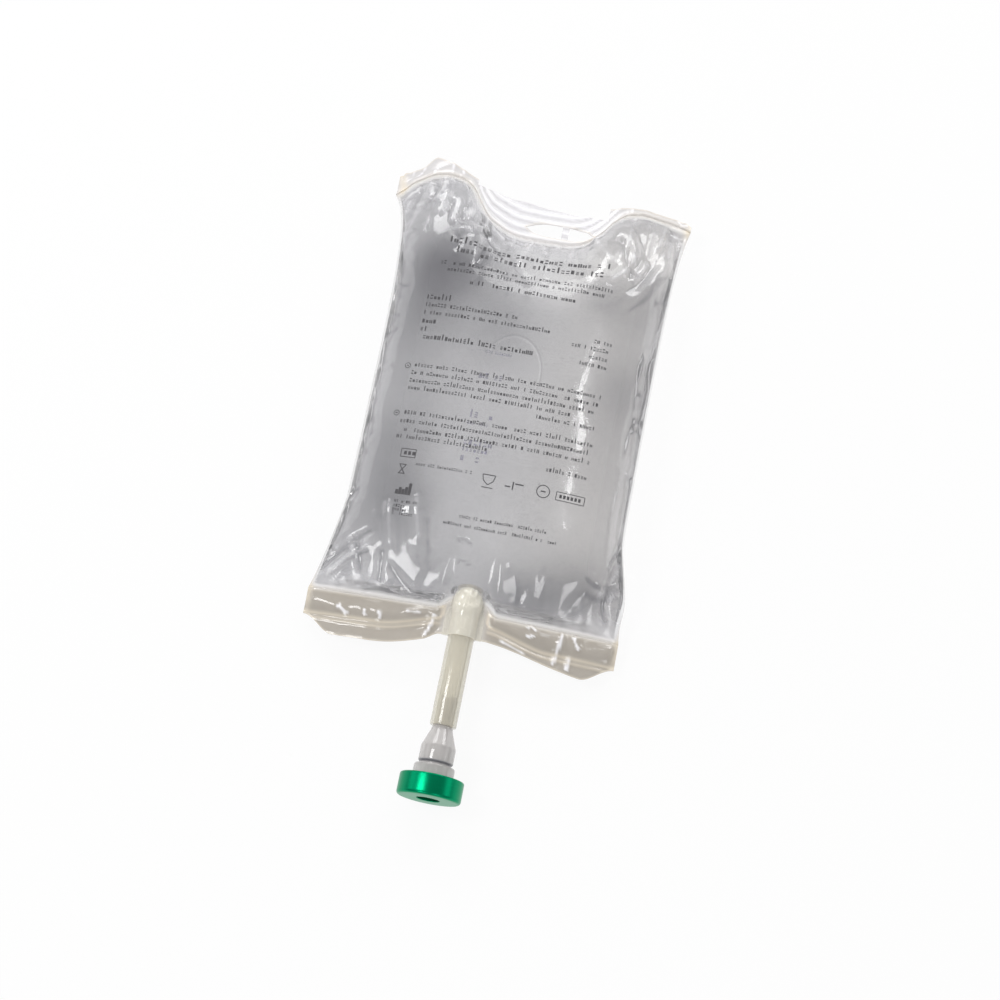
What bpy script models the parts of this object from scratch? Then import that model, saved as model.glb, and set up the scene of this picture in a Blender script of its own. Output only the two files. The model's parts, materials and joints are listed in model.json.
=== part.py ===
"""A full 500 ml saline bag with a capped port, lying on its back.

The bag is layflat film tubing welded shut at both ends. Front and back wall are fused in the flap
below the fill and in the hanging strip above it, and a round sleeve of film holds the port tube.
The tube carries a clear adapter, closed by a rubber stopper under a crimped aluminium cap.

Lengths are in metres. X runs across the bag, Y runs from the port to the hanging strip and Z is up.
While the pieces are made, Y is zero on the bottom weld. At the end the whole bag is moved so that
its origin is under the middle of its box. A station is a distance down the port from that weld.
"""

import math

import bmesh
import bpy
import numpy as np
from mathutils import Vector

# Film and fits
FILM_WALL = 0.0004
FIT_GAP = 0.0003
FILL_GAP = 0.0006

# The filled chamber, from the bottom weld to the top weld
CHAMBER_LENGTH = 0.173
FILLED_HALF_WIDTH = 0.0593
FILLED_HALF_HEIGHT = 0.0164
MIDDLE_HEIGHT = 0.0158
SECTION_POWER = 2.45
END_TAPER = 0.038
END_ROUNDNESS = 0.75
FLARE_BOTTOM_LEFT = 0.0090
FLARE_BOTTOM_RIGHT = 0.0057
FLARE_BOTTOM_LENGTH = 0.040
FLARE_BOTTOM_POWER = 1.3
FLARE_TOP_LEFT = 0.0091
FLARE_TOP_RIGHT = 0.0044
FLARE_TOP_LENGTH = 0.022
BACK_SAG = 1.22
FLOOR_BLEND = 0.003
CORNER_SET_IN = 2.0
END_SET_IN = 2.8
STEEPEST_WALL = 1.5

# Top end: two ears that stand above the hanging strip
EAR_RISE = 0.0215
EAR_SLOPE_START = 0.012
EAR_SLOPE_LENGTH = 0.028
EAR_HEIGHT = 0.0150
EAR_CORNER_DROOP = 0.0045
EAR_BAND = 0.0025
LEFT_EAR_PEAK = 0.0085
LEFT_EAR_EDGE = ((0.0, 0.0), (0.2, 0.62), (0.4, 0.82), (0.6, 1.0), (0.74, 0.6), (1.0, 0.12))
STRIP_HEIGHT = 0.0100
STRIP_DEPTH = 0.0150
STRIP_LEFT = -0.033
STRIP_RIGHT = 0.027
STRIP_LEFT_RISE = 0.0048
STRIP_SAG = 1.6
NOTCH_WIDTH = 0.0040
NOTCH_DEPTH = 0.0010

# Hanging slot, cut through the strip and crossed by one bridge of film
SLOT_CENTRE_X = 0.0068
SLOT_ABOVE_WELD = 0.0058
SLOT_LENGTH = 0.0310
SLOT_WIDTH = 0.0062
SLOT_BRIDGE = 0.0030
SLOT_BRIDGE_X = 0.0092
SLOT_SQUARENESS = 3.5
SLOT_TIP = 0.00025

# Bottom end: a flap with one unwelded pocket on each side of the port
FLAP_DEPTH = 0.0183
FLAP_DEPTH_AT_PORT = 0.0108
FLAP_DEPTH_AT_CORNER = 0.0110
FLAP_CHAMFER = 0.0140
POCKET_DEPTH = 0.0103
POCKET_DEPTH_AT_PORT = 0.0045
POCKET_RAMP = 0.030
POCKET_PUFF = 0.0007
WELD_BEAD = 0.0004
CORNER_DROOP = 0.0075
FLAP_DROOP = 0.0016
DROOP_POWER = 1.5
PORT_WELD_RISE = 0.0040
PORT_WELD_SPREAD = 0.0060

# Broad folds pressed into the front wall: start, end, depth and half width of each
FRONT_FOLDS = (
    ((-0.0600, 0.0060), (-0.0420, 0.0250), 0.0022, 0.0040),
    ((-0.0460, 0.1800), (-0.0300, 0.1560), 0.0026, 0.0040),
    ((-0.0300, 0.1720), (-0.0180, 0.1560), 0.0016, 0.0036),
    ((-0.0080, 0.1660), (-0.0040, 0.1500), 0.0012, 0.0036),
    ((0.0200, 0.1660), (0.0260, 0.1500), 0.0015, 0.0036),
    ((0.0350, 0.1820), (0.0400, 0.1500), 0.0026, 0.0038),
    ((0.0480, 0.1780), (0.0470, 0.1500), 0.0022, 0.0036),
    ((0.0520, 0.0080), (0.0460, 0.0280), 0.0016, 0.0036),
    ((-0.0240, 0.0100), (-0.0180, 0.0280), 0.0012, 0.0040),
    ((0.0200, 0.0090), (0.0170, 0.0280), 0.0012, 0.0040),
)
FOLD_MARGIN = 0.008
FOLD_END_SHARE = 1.0 / 3.0

# Air bubble caught under the front wall
BUBBLE_CENTRE = (-0.0005, 0.1050)
BUBBLE_RADII = (0.0125, 0.0180)
BUBBLE_DEPTH = 0.0016
BUBBLE_RIM = 1.3

# Port tube, welded into the film sleeve
PORT_X = 0.0
TUBE_OUTER_RADIUS = 0.00555
TUBE_BORE_RADIUS = 0.0040
TUBE_INSIDE = 0.0110
TUBE_OUTSIDE = 0.0492
TUBE_EASE = 0.0004
TUBE_OVERLAP = 0.0045
SLEEVE_WALL = 0.0008
SLEEVE_INSIDE = 0.0100

# Adapter, turned as one clear piece
SPIGOT_LENGTH = 0.0120
SPIGOT_EASE = 0.00035
SPIGOT_BORE_RADIUS = 0.0026
NECK_RADIUS = 0.0044
NECK_LENGTH = 0.0016
CONE_LENGTH = 0.0064
BARREL_RADIUS = 0.0073
BARREL_BORE_RADIUS = 0.0055
BARREL_LENGTH = 0.0088
BARREL_EASE = 0.00035
GROOVE_DEPTH = 0.0007
GROOVE_WIDTH = 0.0008
COLLAR_RADIUS = 0.0086
COLLAR_LENGTH = 0.0048
FLANGE_RADIUS = 0.0120
FLANGE_THICKNESS = 0.0032

# Stopper and crimped cap
STOPPER_THICKNESS = 0.0040
STOPPER_PLUG_LENGTH = 0.0050
CAP_RADIUS = 0.0134
CAP_WALL = 0.0005
CAP_SHOULDER = 0.0016
CAP_ROLL = 0.0008
CAP_LIP_EASE = 0.00025
CAP_HOLE_RADIUS = 0.0049
CAP_HOLE_LIP = 0.0018

# Facet counts, and the places of the film's rows
COLUMNS = 22
TURNED_STEPS = 28
SHOULDER_STEPS = 4
OUTLINE_POINTS = 9
ARC_SAMPLES = 2000
# Rows in each stretch of the chamber: its start and end as shares of the length, and their count
CHAMBER_STRETCHES = ((0.0, 0.24, 9), (0.24, 0.72, 8), (0.72, 1.0, 13))
# Rows of the pocket: share of the way from the second weld to the bottom weld, droop and swelling
POCKET_ROWS = ((0.2, 0.4, 0.0), (0.5, 0.25, POCKET_PUFF), (0.8, 0.1, 0.0))
# Rows of the welded top end: share of the way from the weld to the edge, and the weld's bead
TOP_ROWS = ((0.06, WELD_BEAD), (0.3, 0.0), (0.65, 0.0), (1.0, 0.0))

# Colours as the pieces show them
FILM_COLOUR = (0.72, 0.71, 0.72, 1.0)
SALINE_COLOUR = (0.48, 0.48, 0.50, 1.0)
TUBE_COLOUR = (0.55, 0.51, 0.42, 1.0)
ADAPTER_COLOUR = (0.50, 0.48, 0.47, 1.0)
STOPPER_COLOUR = (0.20, 0.20, 0.21, 1.0)
CAP_COLOUR = (0.01, 0.36, 0.19, 1.0)

EAR_TOP = CHAMBER_LENGTH + EAR_RISE
SLEEVE_RADIUS = TUBE_OUTER_RADIUS + FIT_GAP + SLEEVE_WALL


def smoothstep(t):
    """Rises from 0 to 1 with level ends."""
    t = np.clip(t, 0.0, 1.0)
    return t * t * (3.0 - 2.0 * t)


def clear_scene():
    """Empties the file, so that it holds only the bag."""
    for thing in list(bpy.data.objects):
        bpy.data.objects.remove(thing, do_unlink=True)


def make_material(name, colour, roughness, metallic=0.0, transmission=0.0):
    """A Principled material in the colour that the piece shows."""
    material = bpy.data.materials.new(name)
    material.use_nodes = True
    shader = material.node_tree.nodes["Principled BSDF"]
    shader.inputs["Base Color"].default_value = colour
    shader.inputs["Roughness"].default_value = roughness
    shader.inputs["Metallic"].default_value = metallic
    shader.inputs["Transmission Weight"].default_value = transmission
    material.diffuse_color = colour
    return material


def new_object(name, mesh, collection, material=None):
    """Puts a mesh into a collection as a named object."""
    thing = bpy.data.objects.new(name, mesh)
    collection.objects.link(thing)
    if material:
        mesh.materials.append(material)
    return thing


def section_angles(count):
    """Angles round half the filled section, from right to left, an equal length of film apart."""
    fine = np.linspace(0.0, math.pi, ARC_SAMPLES)
    power = 2.0 / SECTION_POWER
    across = FILLED_HALF_WIDTH * np.sign(np.cos(fine)) * np.abs(np.cos(fine)) ** power
    up = FILLED_HALF_HEIGHT * np.sin(fine) ** power
    length = np.concatenate(([0.0], np.cumsum(np.hypot(np.diff(across), np.diff(up)))))
    return np.interp(np.linspace(0.0, length[-1], count + 1), length, fine)


def bottom_weld(x):
    """Y of the bottom weld, which climbs a little beside the port sleeve."""
    beside = (np.abs(x - PORT_X) - SLEEVE_RADIUS) / PORT_WELD_SPREAD
    return PORT_WELD_RISE * smoothstep(1.0 - beside)


def ear_share(x):
    """0 along the hanging strip and 1 in the ears."""
    return smoothstep((np.abs(x) - EAR_SLOPE_START) / EAR_SLOPE_LENGTH)


def top_weld(x):
    """Y of the top weld, low along the hanging strip and high in the ears."""
    return CHAMBER_LENGTH + EAR_RISE * ear_share(x)


def weld_lean(weld, x):
    """How much longer than straight across the bag a weld's line is at x."""
    step = FILM_WALL
    return np.hypot(1.0, (weld(x + step) - weld(x - step)) / (2.0 * step))


def top_edge(x, side):
    """Y of the film's top edge before the strip is cut down; side is the left fold's X there."""
    along = np.clip((STRIP_LEFT - x) / (STRIP_LEFT - side), 0.0, 1.0)
    places, heights = zip(*LEFT_EAR_EDGE)
    return EAR_TOP + EAR_BAND + LEFT_EAR_PEAK * np.interp(along, places, heights)


def half_width(y, flare_bottom, flare_top):
    """Distance from the centre line to a side fold at a height above the bottom weld."""
    below = np.clip(1.0 - y / FLARE_BOTTOM_LENGTH, 0.0, 1.0) ** FLARE_BOTTOM_POWER
    above = np.exp(-np.clip(EAR_TOP - y, 0.0, None) / FLARE_TOP_LENGTH)
    return FILLED_HALF_WIDTH + flare_bottom * below + flare_top * above


def across_at(angle, y, power, inset):
    """X of the section's point at an angle, on the row whose side folds are at height y."""
    turn = np.cos(angle)
    right = half_width(y, FLARE_BOTTOM_RIGHT, FLARE_TOP_RIGHT) - inset
    left = half_width(y, FLARE_BOTTOM_LEFT, FLARE_TOP_LEFT) - inset
    return np.where(turn > 0.0, right, -left) * np.abs(turn) ** (2.0 / power)


def bottom_height(x):
    """Height of the bottom weld: the port's axis in the middle, drooping to both corners."""
    spread = np.abs(x) / (FILLED_HALF_WIDTH + FLARE_BOTTOM_LEFT)
    return CAP_RADIUS - CORNER_DROOP * spread**DROOP_POWER


def top_height(x):
    """Height of the top weld: low in the strip, high in the ears, drooping at the corners."""
    spread = np.clip((np.abs(x) - EAR_SLOPE_START - EAR_SLOPE_LENGTH) / EAR_SLOPE_LENGTH, 0.0, 1.0)
    rise = (EAR_HEIGHT - STRIP_HEIGHT) * ear_share(x)
    return STRIP_HEIGHT + rise - EAR_CORNER_DROOP * spread**DROOP_POWER


def fold_depth(x, y):
    """How far the broad folds press the front wall in at a point of the plan."""
    depth = np.zeros_like(x)
    for (x0, y0), (x1, y1), deep, wide in FRONT_FOLDS:
        run_x, run_y = x1 - x0, y1 - y0
        length = math.hypot(run_x, run_y)
        along = ((x - x0) * run_x + (y - y0) * run_y) / length**2
        off = ((x - x0) * run_y - (y - y0) * run_x) / length
        taper = smoothstep(along / FOLD_END_SHARE) * smoothstep((1.0 - along) / FOLD_END_SHARE)
        depth += deep * taper * np.exp(-((off / wide) ** 2))
    return depth


def end_profile(distance):
    """Share of the full thickness at a distance from an end weld, and its slope along Y."""
    reach = np.clip(distance / END_TAPER, 0.0, 1.0)
    inside = np.clip(1.0 - (1.0 - reach) ** 2, 1e-9, 1.0)
    slope = END_ROUNDNESS * inside ** (END_ROUNDNESS - 1.0) * 2.0 * (1.0 - reach) / END_TAPER
    return inside**END_ROUNDNESS, slope


def settle(z, floor):
    """Lays what would sink below the floor flat on it, with a soft start beside the flat."""
    lift = np.maximum(z - floor, 0.0)
    return floor + lift * smoothstep(lift / FLOOR_BLEND)


def chamber_row(share, angles, inset):
    """One closed ring of the filled chamber, inset from the film's outer face."""
    base_y = share * EAR_TOP
    fullness = end_profile(min(base_y, EAR_TOP - base_y))[0]
    x = across_at(angles, base_y, SECTION_POWER, inset * (1.0 + CORNER_SET_IN * (1.0 - fullness)))
    lean_bottom, lean_top = weld_lean(bottom_weld, x), weld_lean(top_weld, x)
    low = bottom_weld(x) + END_SET_IN * inset * lean_bottom
    high = top_weld(x) - END_SET_IN * inset * lean_top
    y = low + share * (high - low)
    from_bottom, slope_bottom = end_profile(y - bottom_weld(x))
    from_top, slope_top = end_profile(top_weld(x) - y)
    swell = FILLED_HALF_HEIGHT * from_bottom * from_top
    slope = slope_bottom * from_top * lean_bottom + slope_top * from_bottom * lean_top
    wall = inset * np.hypot(1.0, np.minimum(FILLED_HALF_HEIGHT * slope, STEEPEST_WALL))
    round_over = np.abs(np.sin(angles)) ** (2.0 / SECTION_POWER)
    thick = (FILM_WALL + swell - wall) * round_over
    near_bottom = smoothstep(1.0 - (y - bottom_weld(x)) / END_TAPER)
    near_top = smoothstep(1.0 - (top_weld(x) - y) / END_TAPER)
    middle = MIDDLE_HEIGHT + (bottom_height(x) - MIDDLE_HEIGHT) * near_bottom
    middle = middle + (top_height(x) - MIDDLE_HEIGHT) * near_top
    front = np.sin(angles) > 0.0
    margin = smoothstep(swell * round_over / FOLD_MARGIN)
    pressed = fold_depth(x, y) * margin
    z = np.where(front, middle + thick - pressed, settle(middle - BACK_SAG * thick, inset))
    return np.stack((x, y, z), axis=1)


def sheet_row(angles, y, z, share, thick):
    """One closed ring of fused film, at the heights given for each column."""
    x = across_at(angles, share * EAR_TOP, SECTION_POWER, 0.0)
    side = np.abs(np.sin(angles)) < 1e-6
    sign = np.where(np.sin(angles) > 0.0, 1.0, -1.0)
    return np.stack((x, y, z + np.where(side, 0.0, sign * thick)), axis=1)


def flap_edge(x, side):
    """Depth of the flap's free edge below the bottom weld; side is the half width there."""
    from_port = smoothstep((np.abs(x - PORT_X) - SLEEVE_RADIUS) / (side - FLAP_CHAMFER))
    from_corner = smoothstep((side - np.abs(x)) / FLAP_CHAMFER)
    depth = FLAP_DEPTH_AT_PORT + (FLAP_DEPTH - FLAP_DEPTH_AT_PORT) * from_port
    return FLAP_DEPTH_AT_CORNER + (depth - FLAP_DEPTH_AT_CORNER) * from_corner


def pocket_edge(x):
    """Depth of the second weld, which closes the pockets and climbs towards the port."""
    away = smoothstep((np.abs(x - PORT_X) - SLEEVE_RADIUS) / POCKET_RAMP)
    return POCKET_DEPTH_AT_PORT + (POCKET_DEPTH - POCKET_DEPTH_AT_PORT) * away


def flap_rows(angles):
    """Rings of the bottom flap, from its free edge up to the bottom weld."""
    x = across_at(angles, 0.0, SECTION_POWER, 0.0)
    weld = bottom_weld(x)
    side = FILLED_HALF_WIDTH + np.where(x > 0.0, FLARE_BOTTOM_RIGHT, FLARE_BOTTOM_LEFT)
    edge = -flap_edge(x, side)
    second = np.maximum(-pocket_edge(x), edge + WELD_BEAD)
    room = smoothstep((np.abs(x - PORT_X) - SLEEVE_RADIUS - WELD_BEAD) / PORT_WELD_SPREAD)
    steps = [(edge, 1.0, 0.0), ((edge + second) / 2.0, 0.75, 0.0), (second, 0.55, WELD_BEAD)]
    steps += [(second + share * (weld - second), drop, extra) for share, drop, extra in POCKET_ROWS]
    steps += [(weld - FILM_WALL, 0.0, WELD_BEAD)]
    rows = []
    for y, drop, extra in steps:
        z = bottom_height(x) - FLAP_DROOP * drop * np.abs(x) / FILLED_HALF_WIDTH
        rows.append(sheet_row(angles, y, z, 0.0, FILM_WALL + extra * room))
    return rows


def top_rows(angles):
    """Rings of the welded top end, from the top weld up to the uncut edge."""
    x = across_at(angles, EAR_TOP, SECTION_POWER, 0.0)
    edge = top_edge(x, -(FILLED_HALF_WIDTH + FLARE_TOP_LEFT))
    rows = []
    for share, extra in TOP_ROWS:
        y = top_weld(x) + share * (edge - top_weld(x))
        rows.append(sheet_row(angles, y, top_height(x), 1.0, FILM_WALL + extra))
    return rows


def chamber_shares():
    """Row positions along the chamber, close at both ends where the film folds."""
    stretches = [np.linspace(start, end, count)[1:] for start, end, count in CHAMBER_STRETCHES]
    return np.concatenate(([0.0], *stretches))


def ring_angles():
    """Angles round a whole ring: over the front wall from right to left, then back underneath."""
    front = section_angles(COLUMNS)
    return np.concatenate((front, 2.0 * math.pi - front[-2:0:-1]))


def loft(name, rows, collection, material=None):
    """Skins closed rings into one solid, whose end rings are closed from front wall to back.

    Its faces are triangles, split the same way in every layer, so that nested layers stay apart.
    """
    mesh = bpy.data.meshes.new(name)
    body = bmesh.new()
    rings = [[body.verts.new(point) for point in row] for row in rows]
    count = len(rings[0])
    for lower, upper in zip(rings, rings[1:]):
        for k in range(count):
            after = (k + 1) % count
            body.faces.new((lower[k], upper[k], upper[after]))
            body.faces.new((lower[k], upper[after], lower[after]))
    for ring, first in ((rings[0], True), (rings[-1], False)):
        for k in range(COLUMNS):
            corners = [ring[k], ring[k + 1], ring[-k - 1], ring[-k] if k else ring[0]]
            corners = list(dict.fromkeys(corners))
            body.faces.new(corners if first else corners[::-1])
    bmesh.ops.recalc_face_normals(body, faces=body.faces)
    body.to_mesh(mesh)
    body.free()
    return new_object(name, mesh, collection, material)


def port_cylinder(name, radius, start, end, collection):
    """A plain cylinder on the port's axis between two stations."""
    mesh = bpy.data.meshes.new(name)
    body = bmesh.new()
    bmesh.ops.create_cone(
        body, cap_ends=True, segments=TURNED_STEPS, radius1=radius, radius2=radius, depth=end - start
    )
    body.to_mesh(mesh)
    body.free()
    cylinder = new_object(name, mesh, collection)
    cylinder.location = (PORT_X, -(start + end) / 2.0, CAP_RADIUS)
    cylinder.rotation_euler = (math.pi / 2.0, 0.0, 0.0)
    return cylinder


def extruded_outlines(name, outlines, low, high, collection):
    """Solids with flat outlines, from one height to another, as one object."""
    curve = bpy.data.curves.new(name, "CURVE")
    curve.dimensions = "2D"
    curve.fill_mode = "BOTH"
    curve.extrude = (high - low) / 2.0
    for outline in outlines:
        spline = curve.splines.new("POLY")
        spline.points.add(len(outline) - 1)
        for point, (x, y) in zip(spline.points, outline):
            point.co = (x, y, 0.0, 1.0)
        spline.use_cyclic_u = True
    guide = bpy.data.objects.new(name, curve)
    collection.objects.link(guide)
    guide.location.z = (high + low) / 2.0
    bpy.context.view_layer.update()
    evaluated = guide.evaluated_get(bpy.context.evaluated_depsgraph_get())
    mesh = bpy.data.meshes.new_from_object(evaluated)
    place = guide.matrix_world.copy()
    bpy.data.objects.remove(guide, do_unlink=True)
    body = bmesh.new()
    body.from_mesh(mesh)
    bmesh.ops.remove_doubles(body, verts=body.verts, dist=1e-6)
    bmesh.ops.recalc_face_normals(body, faces=body.faces)
    body.to_mesh(mesh)
    body.free()
    solid = new_object(name, mesh, collection)
    solid.matrix_world = place
    return solid


def slot_window(left, right):
    """Outline of one window of the hanging slot: the slot's rounded form between two ends."""
    middle = CHAMBER_LENGTH + SLOT_ABOVE_WELD
    half = SLOT_LENGTH / 2.0
    places = np.linspace(left, right, OUTLINE_POINTS)
    rise = SLOT_WIDTH / 2.0 * (1.0 - np.abs((places - SLOT_CENTRE_X) / half) ** SLOT_SQUARENESS)
    rise = np.maximum(rise, SLOT_TIP)
    upper = [(x, middle + r) for x, r in zip(places, rise)]
    lower = [(x, middle - r) for x, r in zip(places[::-1], rise[::-1])]
    return lower + upper


def strip_outline():
    """Outline of the film that is cut away above the hanging strip."""
    weld = CHAMBER_LENGTH + STRIP_DEPTH
    above = EAR_TOP + EAR_BAND + LEFT_EAR_PEAK + STRIP_DEPTH
    run = np.linspace(STRIP_LEFT, STRIP_RIGHT - NOTCH_WIDTH, OUTLINE_POINTS)
    share = (run - STRIP_LEFT) / (run[-1] - STRIP_LEFT)
    edge = [(x, weld + STRIP_LEFT_RISE * (1.0 - s) ** STRIP_SAG) for x, s in zip(run, share)]
    return edge + [(STRIP_RIGHT, weld - NOTCH_DEPTH), (STRIP_RIGHT, above), (STRIP_LEFT, above)]


def cut(target, cutter, operation):
    """Joins or cuts one object by another and keeps the result as the target's own mesh."""
    step = target.modifiers.new(cutter.name, "BOOLEAN")
    step.operation = operation
    step.solver = "EXACT"
    step.object = cutter
    bpy.context.view_layer.update()
    evaluated = target.evaluated_get(bpy.context.evaluated_depsgraph_get())
    mesh = bpy.data.meshes.new_from_object(evaluated)
    target.modifiers.clear()
    target.data = mesh


def hide_cutter(cutter):
    """Marks a cutter as a guide that isn't part of the bag."""
    cutter.hide_render = True
    cutter.display_type = "WIRE"


def make_film(parts, cutters, material):
    """The whole film: chamber walls, flap, ears and hanging strip, with the sleeve for the tube."""
    angles = ring_angles()
    chamber = [chamber_row(share, angles, 0.0) for share in chamber_shares()]
    film = loft("bag_film", flap_rows(angles) + chamber + top_rows(angles), parts, material)
    cavity_rows = [chamber_row(share, angles, FILM_WALL) for share in chamber_shares()]
    cavity = loft("cavity_cutter", cavity_rows, cutters)
    flap_end = FLAP_DEPTH_AT_PORT - WELD_BEAD
    sleeve = port_cylinder("sleeve", SLEEVE_RADIUS, -SLEEVE_INSIDE, flap_end, cutters)
    bore_radius = TUBE_OUTER_RADIUS + FIT_GAP
    bore = port_cylinder("bore_cutter", bore_radius, -TUBE_INSIDE - FIT_GAP, TUBE_OUTSIDE, cutters)
    right_end = SLOT_CENTRE_X + SLOT_LENGTH / 2.0
    left_end = SLOT_CENTRE_X - SLOT_LENGTH / 2.0
    bridge_left = SLOT_BRIDGE_X - SLOT_BRIDGE / 2.0
    bridge_right = SLOT_BRIDGE_X + SLOT_BRIDGE / 2.0
    outlines = [slot_window(left_end, bridge_left), slot_window(bridge_right, right_end), strip_outline()]
    hanger = extruded_outlines("hanger_cutter", outlines, 0.0, EAR_HEIGHT * 2.0, cutters)
    cut(film, cavity, "DIFFERENCE")
    cut(film, sleeve, "UNION")
    cut(film, bore, "DIFFERENCE")
    cut(film, hanger, "DIFFERENCE")
    for cutter in (cavity, sleeve, bore, hanger):
        hide_cutter(cutter)
    return film


def bubble_dent(rows):
    """Presses the air bubble's hollow into the front of the fill."""
    for row in rows:
        off_x = (row[:, 0] - BUBBLE_CENTRE[0]) / BUBBLE_RADII[0]
        off_y = (row[:, 1] - BUBBLE_CENTRE[1]) / BUBBLE_RADII[1]
        hollow = BUBBLE_DEPTH * smoothstep(BUBBLE_RIM - np.hypot(off_x, off_y))
        row[:, 2] -= np.where(row[:, 2] > MIDDLE_HEIGHT, hollow, 0.0)


def make_fill(parts, cutters, material):
    """The saline: it fills the chamber, the tube and the adapter, down to the stopper."""
    angles = ring_angles()
    inset = FILM_WALL + FILL_GAP
    rows = [chamber_row(share, angles, inset) for share in chamber_shares()]
    bubble_dent(rows)
    fill = loft("saline_fill", rows, parts, material)
    radius = SLEEVE_RADIUS + FIT_GAP
    end = SLEEVE_INSIDE + FIT_GAP
    clearance = port_cylinder("sleeve_clearance", radius, -end, FLAP_DEPTH, cutters)
    mouth_radius = TUBE_OUTER_RADIUS + FIT_GAP
    mouth_end = TUBE_INSIDE + FIT_GAP
    mouth = port_cylinder("tube_clearance", mouth_radius, -mouth_end, FLAP_DEPTH, cutters)
    spigot_top = TUBE_OUTSIDE - SPIGOT_LENGTH
    neck_top = -mouth_end - TUBE_OVERLAP
    neck = port_cylinder(
        "fill_in_tube", TUBE_BORE_RADIUS - FIT_GAP, neck_top, spigot_top - FIT_GAP, cutters
    )
    thread = port_cylinder(
        "fill_in_spigot", SPIGOT_BORE_RADIUS - FIT_GAP, spigot_top - 2.0 * FIT_GAP,
        barrel_start() + 2.0 * FIT_GAP, cutters
    )
    pool_end = stopper_start() - STOPPER_PLUG_LENGTH - FIT_GAP
    pool = port_cylinder(
        "fill_in_barrel", BARREL_BORE_RADIUS - FIT_GAP, barrel_start() + FIT_GAP, pool_end, cutters
    )
    cut(fill, clearance, "DIFFERENCE")
    cut(fill, mouth, "DIFFERENCE")
    for solid in (neck, thread, pool):
        cut(fill, solid, "UNION")
    for cutter in (clearance, mouth, neck, thread, pool):
        hide_cutter(cutter)
    return fill


def barrel_start():
    """Station where the adapter's cone meets its barrel and the wide bore starts."""
    return TUBE_OUTSIDE + NECK_LENGTH + CONE_LENGTH


def collar_start():
    """Station where the collar starts."""
    return barrel_start() + BARREL_LENGTH


def cap_start():
    """Station of the cap's rolled edge, which grips the flange."""
    return collar_start() + COLLAR_LENGTH


def stopper_start():
    """Station of the stopper's face against the flange."""
    return cap_start() + CAP_WALL + FIT_GAP + FLANGE_THICKNESS + FIT_GAP


def cap_end():
    """Station of the cap's flat end face."""
    return stopper_start() + STOPPER_THICKNESS + FIT_GAP + CAP_WALL


def turned(name, profile, closed, collection, material):
    """Turns a profile of (radius, station) pairs about the port's axis."""
    mesh = bpy.data.meshes.new(name)
    body = bmesh.new()
    points = [body.verts.new((radius, 0.0, station)) for radius, station in profile]
    for start, end in zip(points, points[1:]):
        body.edges.new((start, end))
    if closed:
        body.edges.new((points[-1], points[0]))
    body.to_mesh(mesh)
    body.free()
    piece = new_object(name, mesh, collection, material)
    piece.location = (PORT_X, 0.0, CAP_RADIUS)
    piece.rotation_euler = (math.pi / 2.0, 0.0, 0.0)
    screw = piece.modifiers.new("turn", "SCREW")
    screw.axis = "Z"
    screw.steps = TURNED_STEPS
    screw.render_steps = TURNED_STEPS
    screw.use_merge_vertices = True
    screw.merge_threshold = 0.00001
    return piece


def make_tube(parts, material):
    """The port tube, a plain length of soft tubing with a little round on both ends."""
    start, end = -TUBE_INSIDE, TUBE_OUTSIDE
    profile = [
        (TUBE_OUTER_RADIUS - TUBE_EASE, end),
        (TUBE_OUTER_RADIUS, end - TUBE_EASE),
        (TUBE_OUTER_RADIUS, start + TUBE_EASE),
        (TUBE_OUTER_RADIUS - TUBE_EASE, start),
        (TUBE_BORE_RADIUS, start),
        (TUBE_BORE_RADIUS, end),
    ]
    return turned("port_tube", profile, True, parts, material)


def make_adapter(parts, material):
    """The clear adapter: spigot, neck, cone, barrel, collar and the flange under the cap."""
    spigot_radius = TUBE_BORE_RADIUS - FIT_GAP
    spigot_top = TUBE_OUTSIDE - SPIGOT_LENGTH
    neck_start = TUBE_OUTSIDE + FIT_GAP
    cone_start = TUBE_OUTSIDE + NECK_LENGTH
    flange_start = cap_start() + CAP_WALL + FIT_GAP
    flange_end = flange_start + FLANGE_THICKNESS
    groove = BARREL_RADIUS - GROOVE_DEPTH
    profile = [
        (BARREL_BORE_RADIUS, flange_end),
        (FLANGE_RADIUS, flange_end),
        (FLANGE_RADIUS, flange_start),
        (COLLAR_RADIUS, flange_start),
        (COLLAR_RADIUS, collar_start() + GROOVE_WIDTH),
        (COLLAR_RADIUS - GROOVE_WIDTH, collar_start()),
        (groove, collar_start()),
        (groove, collar_start() - GROOVE_WIDTH),
        (BARREL_RADIUS, collar_start() - 2.0 * GROOVE_WIDTH),
        (BARREL_RADIUS, barrel_start() + GROOVE_WIDTH),
        (BARREL_RADIUS - BARREL_EASE, barrel_start()),
        (NECK_RADIUS + BARREL_EASE, cone_start + GROOVE_DEPTH),
        (NECK_RADIUS, cone_start),
        (NECK_RADIUS, neck_start),
        (spigot_radius, neck_start),
        (spigot_radius, spigot_top + GROOVE_WIDTH),
        (spigot_radius - SPIGOT_EASE, spigot_top),
        (SPIGOT_BORE_RADIUS, spigot_top),
        (SPIGOT_BORE_RADIUS, barrel_start()),
        (BARREL_BORE_RADIUS, barrel_start()),
    ]
    return turned("port_adapter", profile, True, parts, material)


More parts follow.
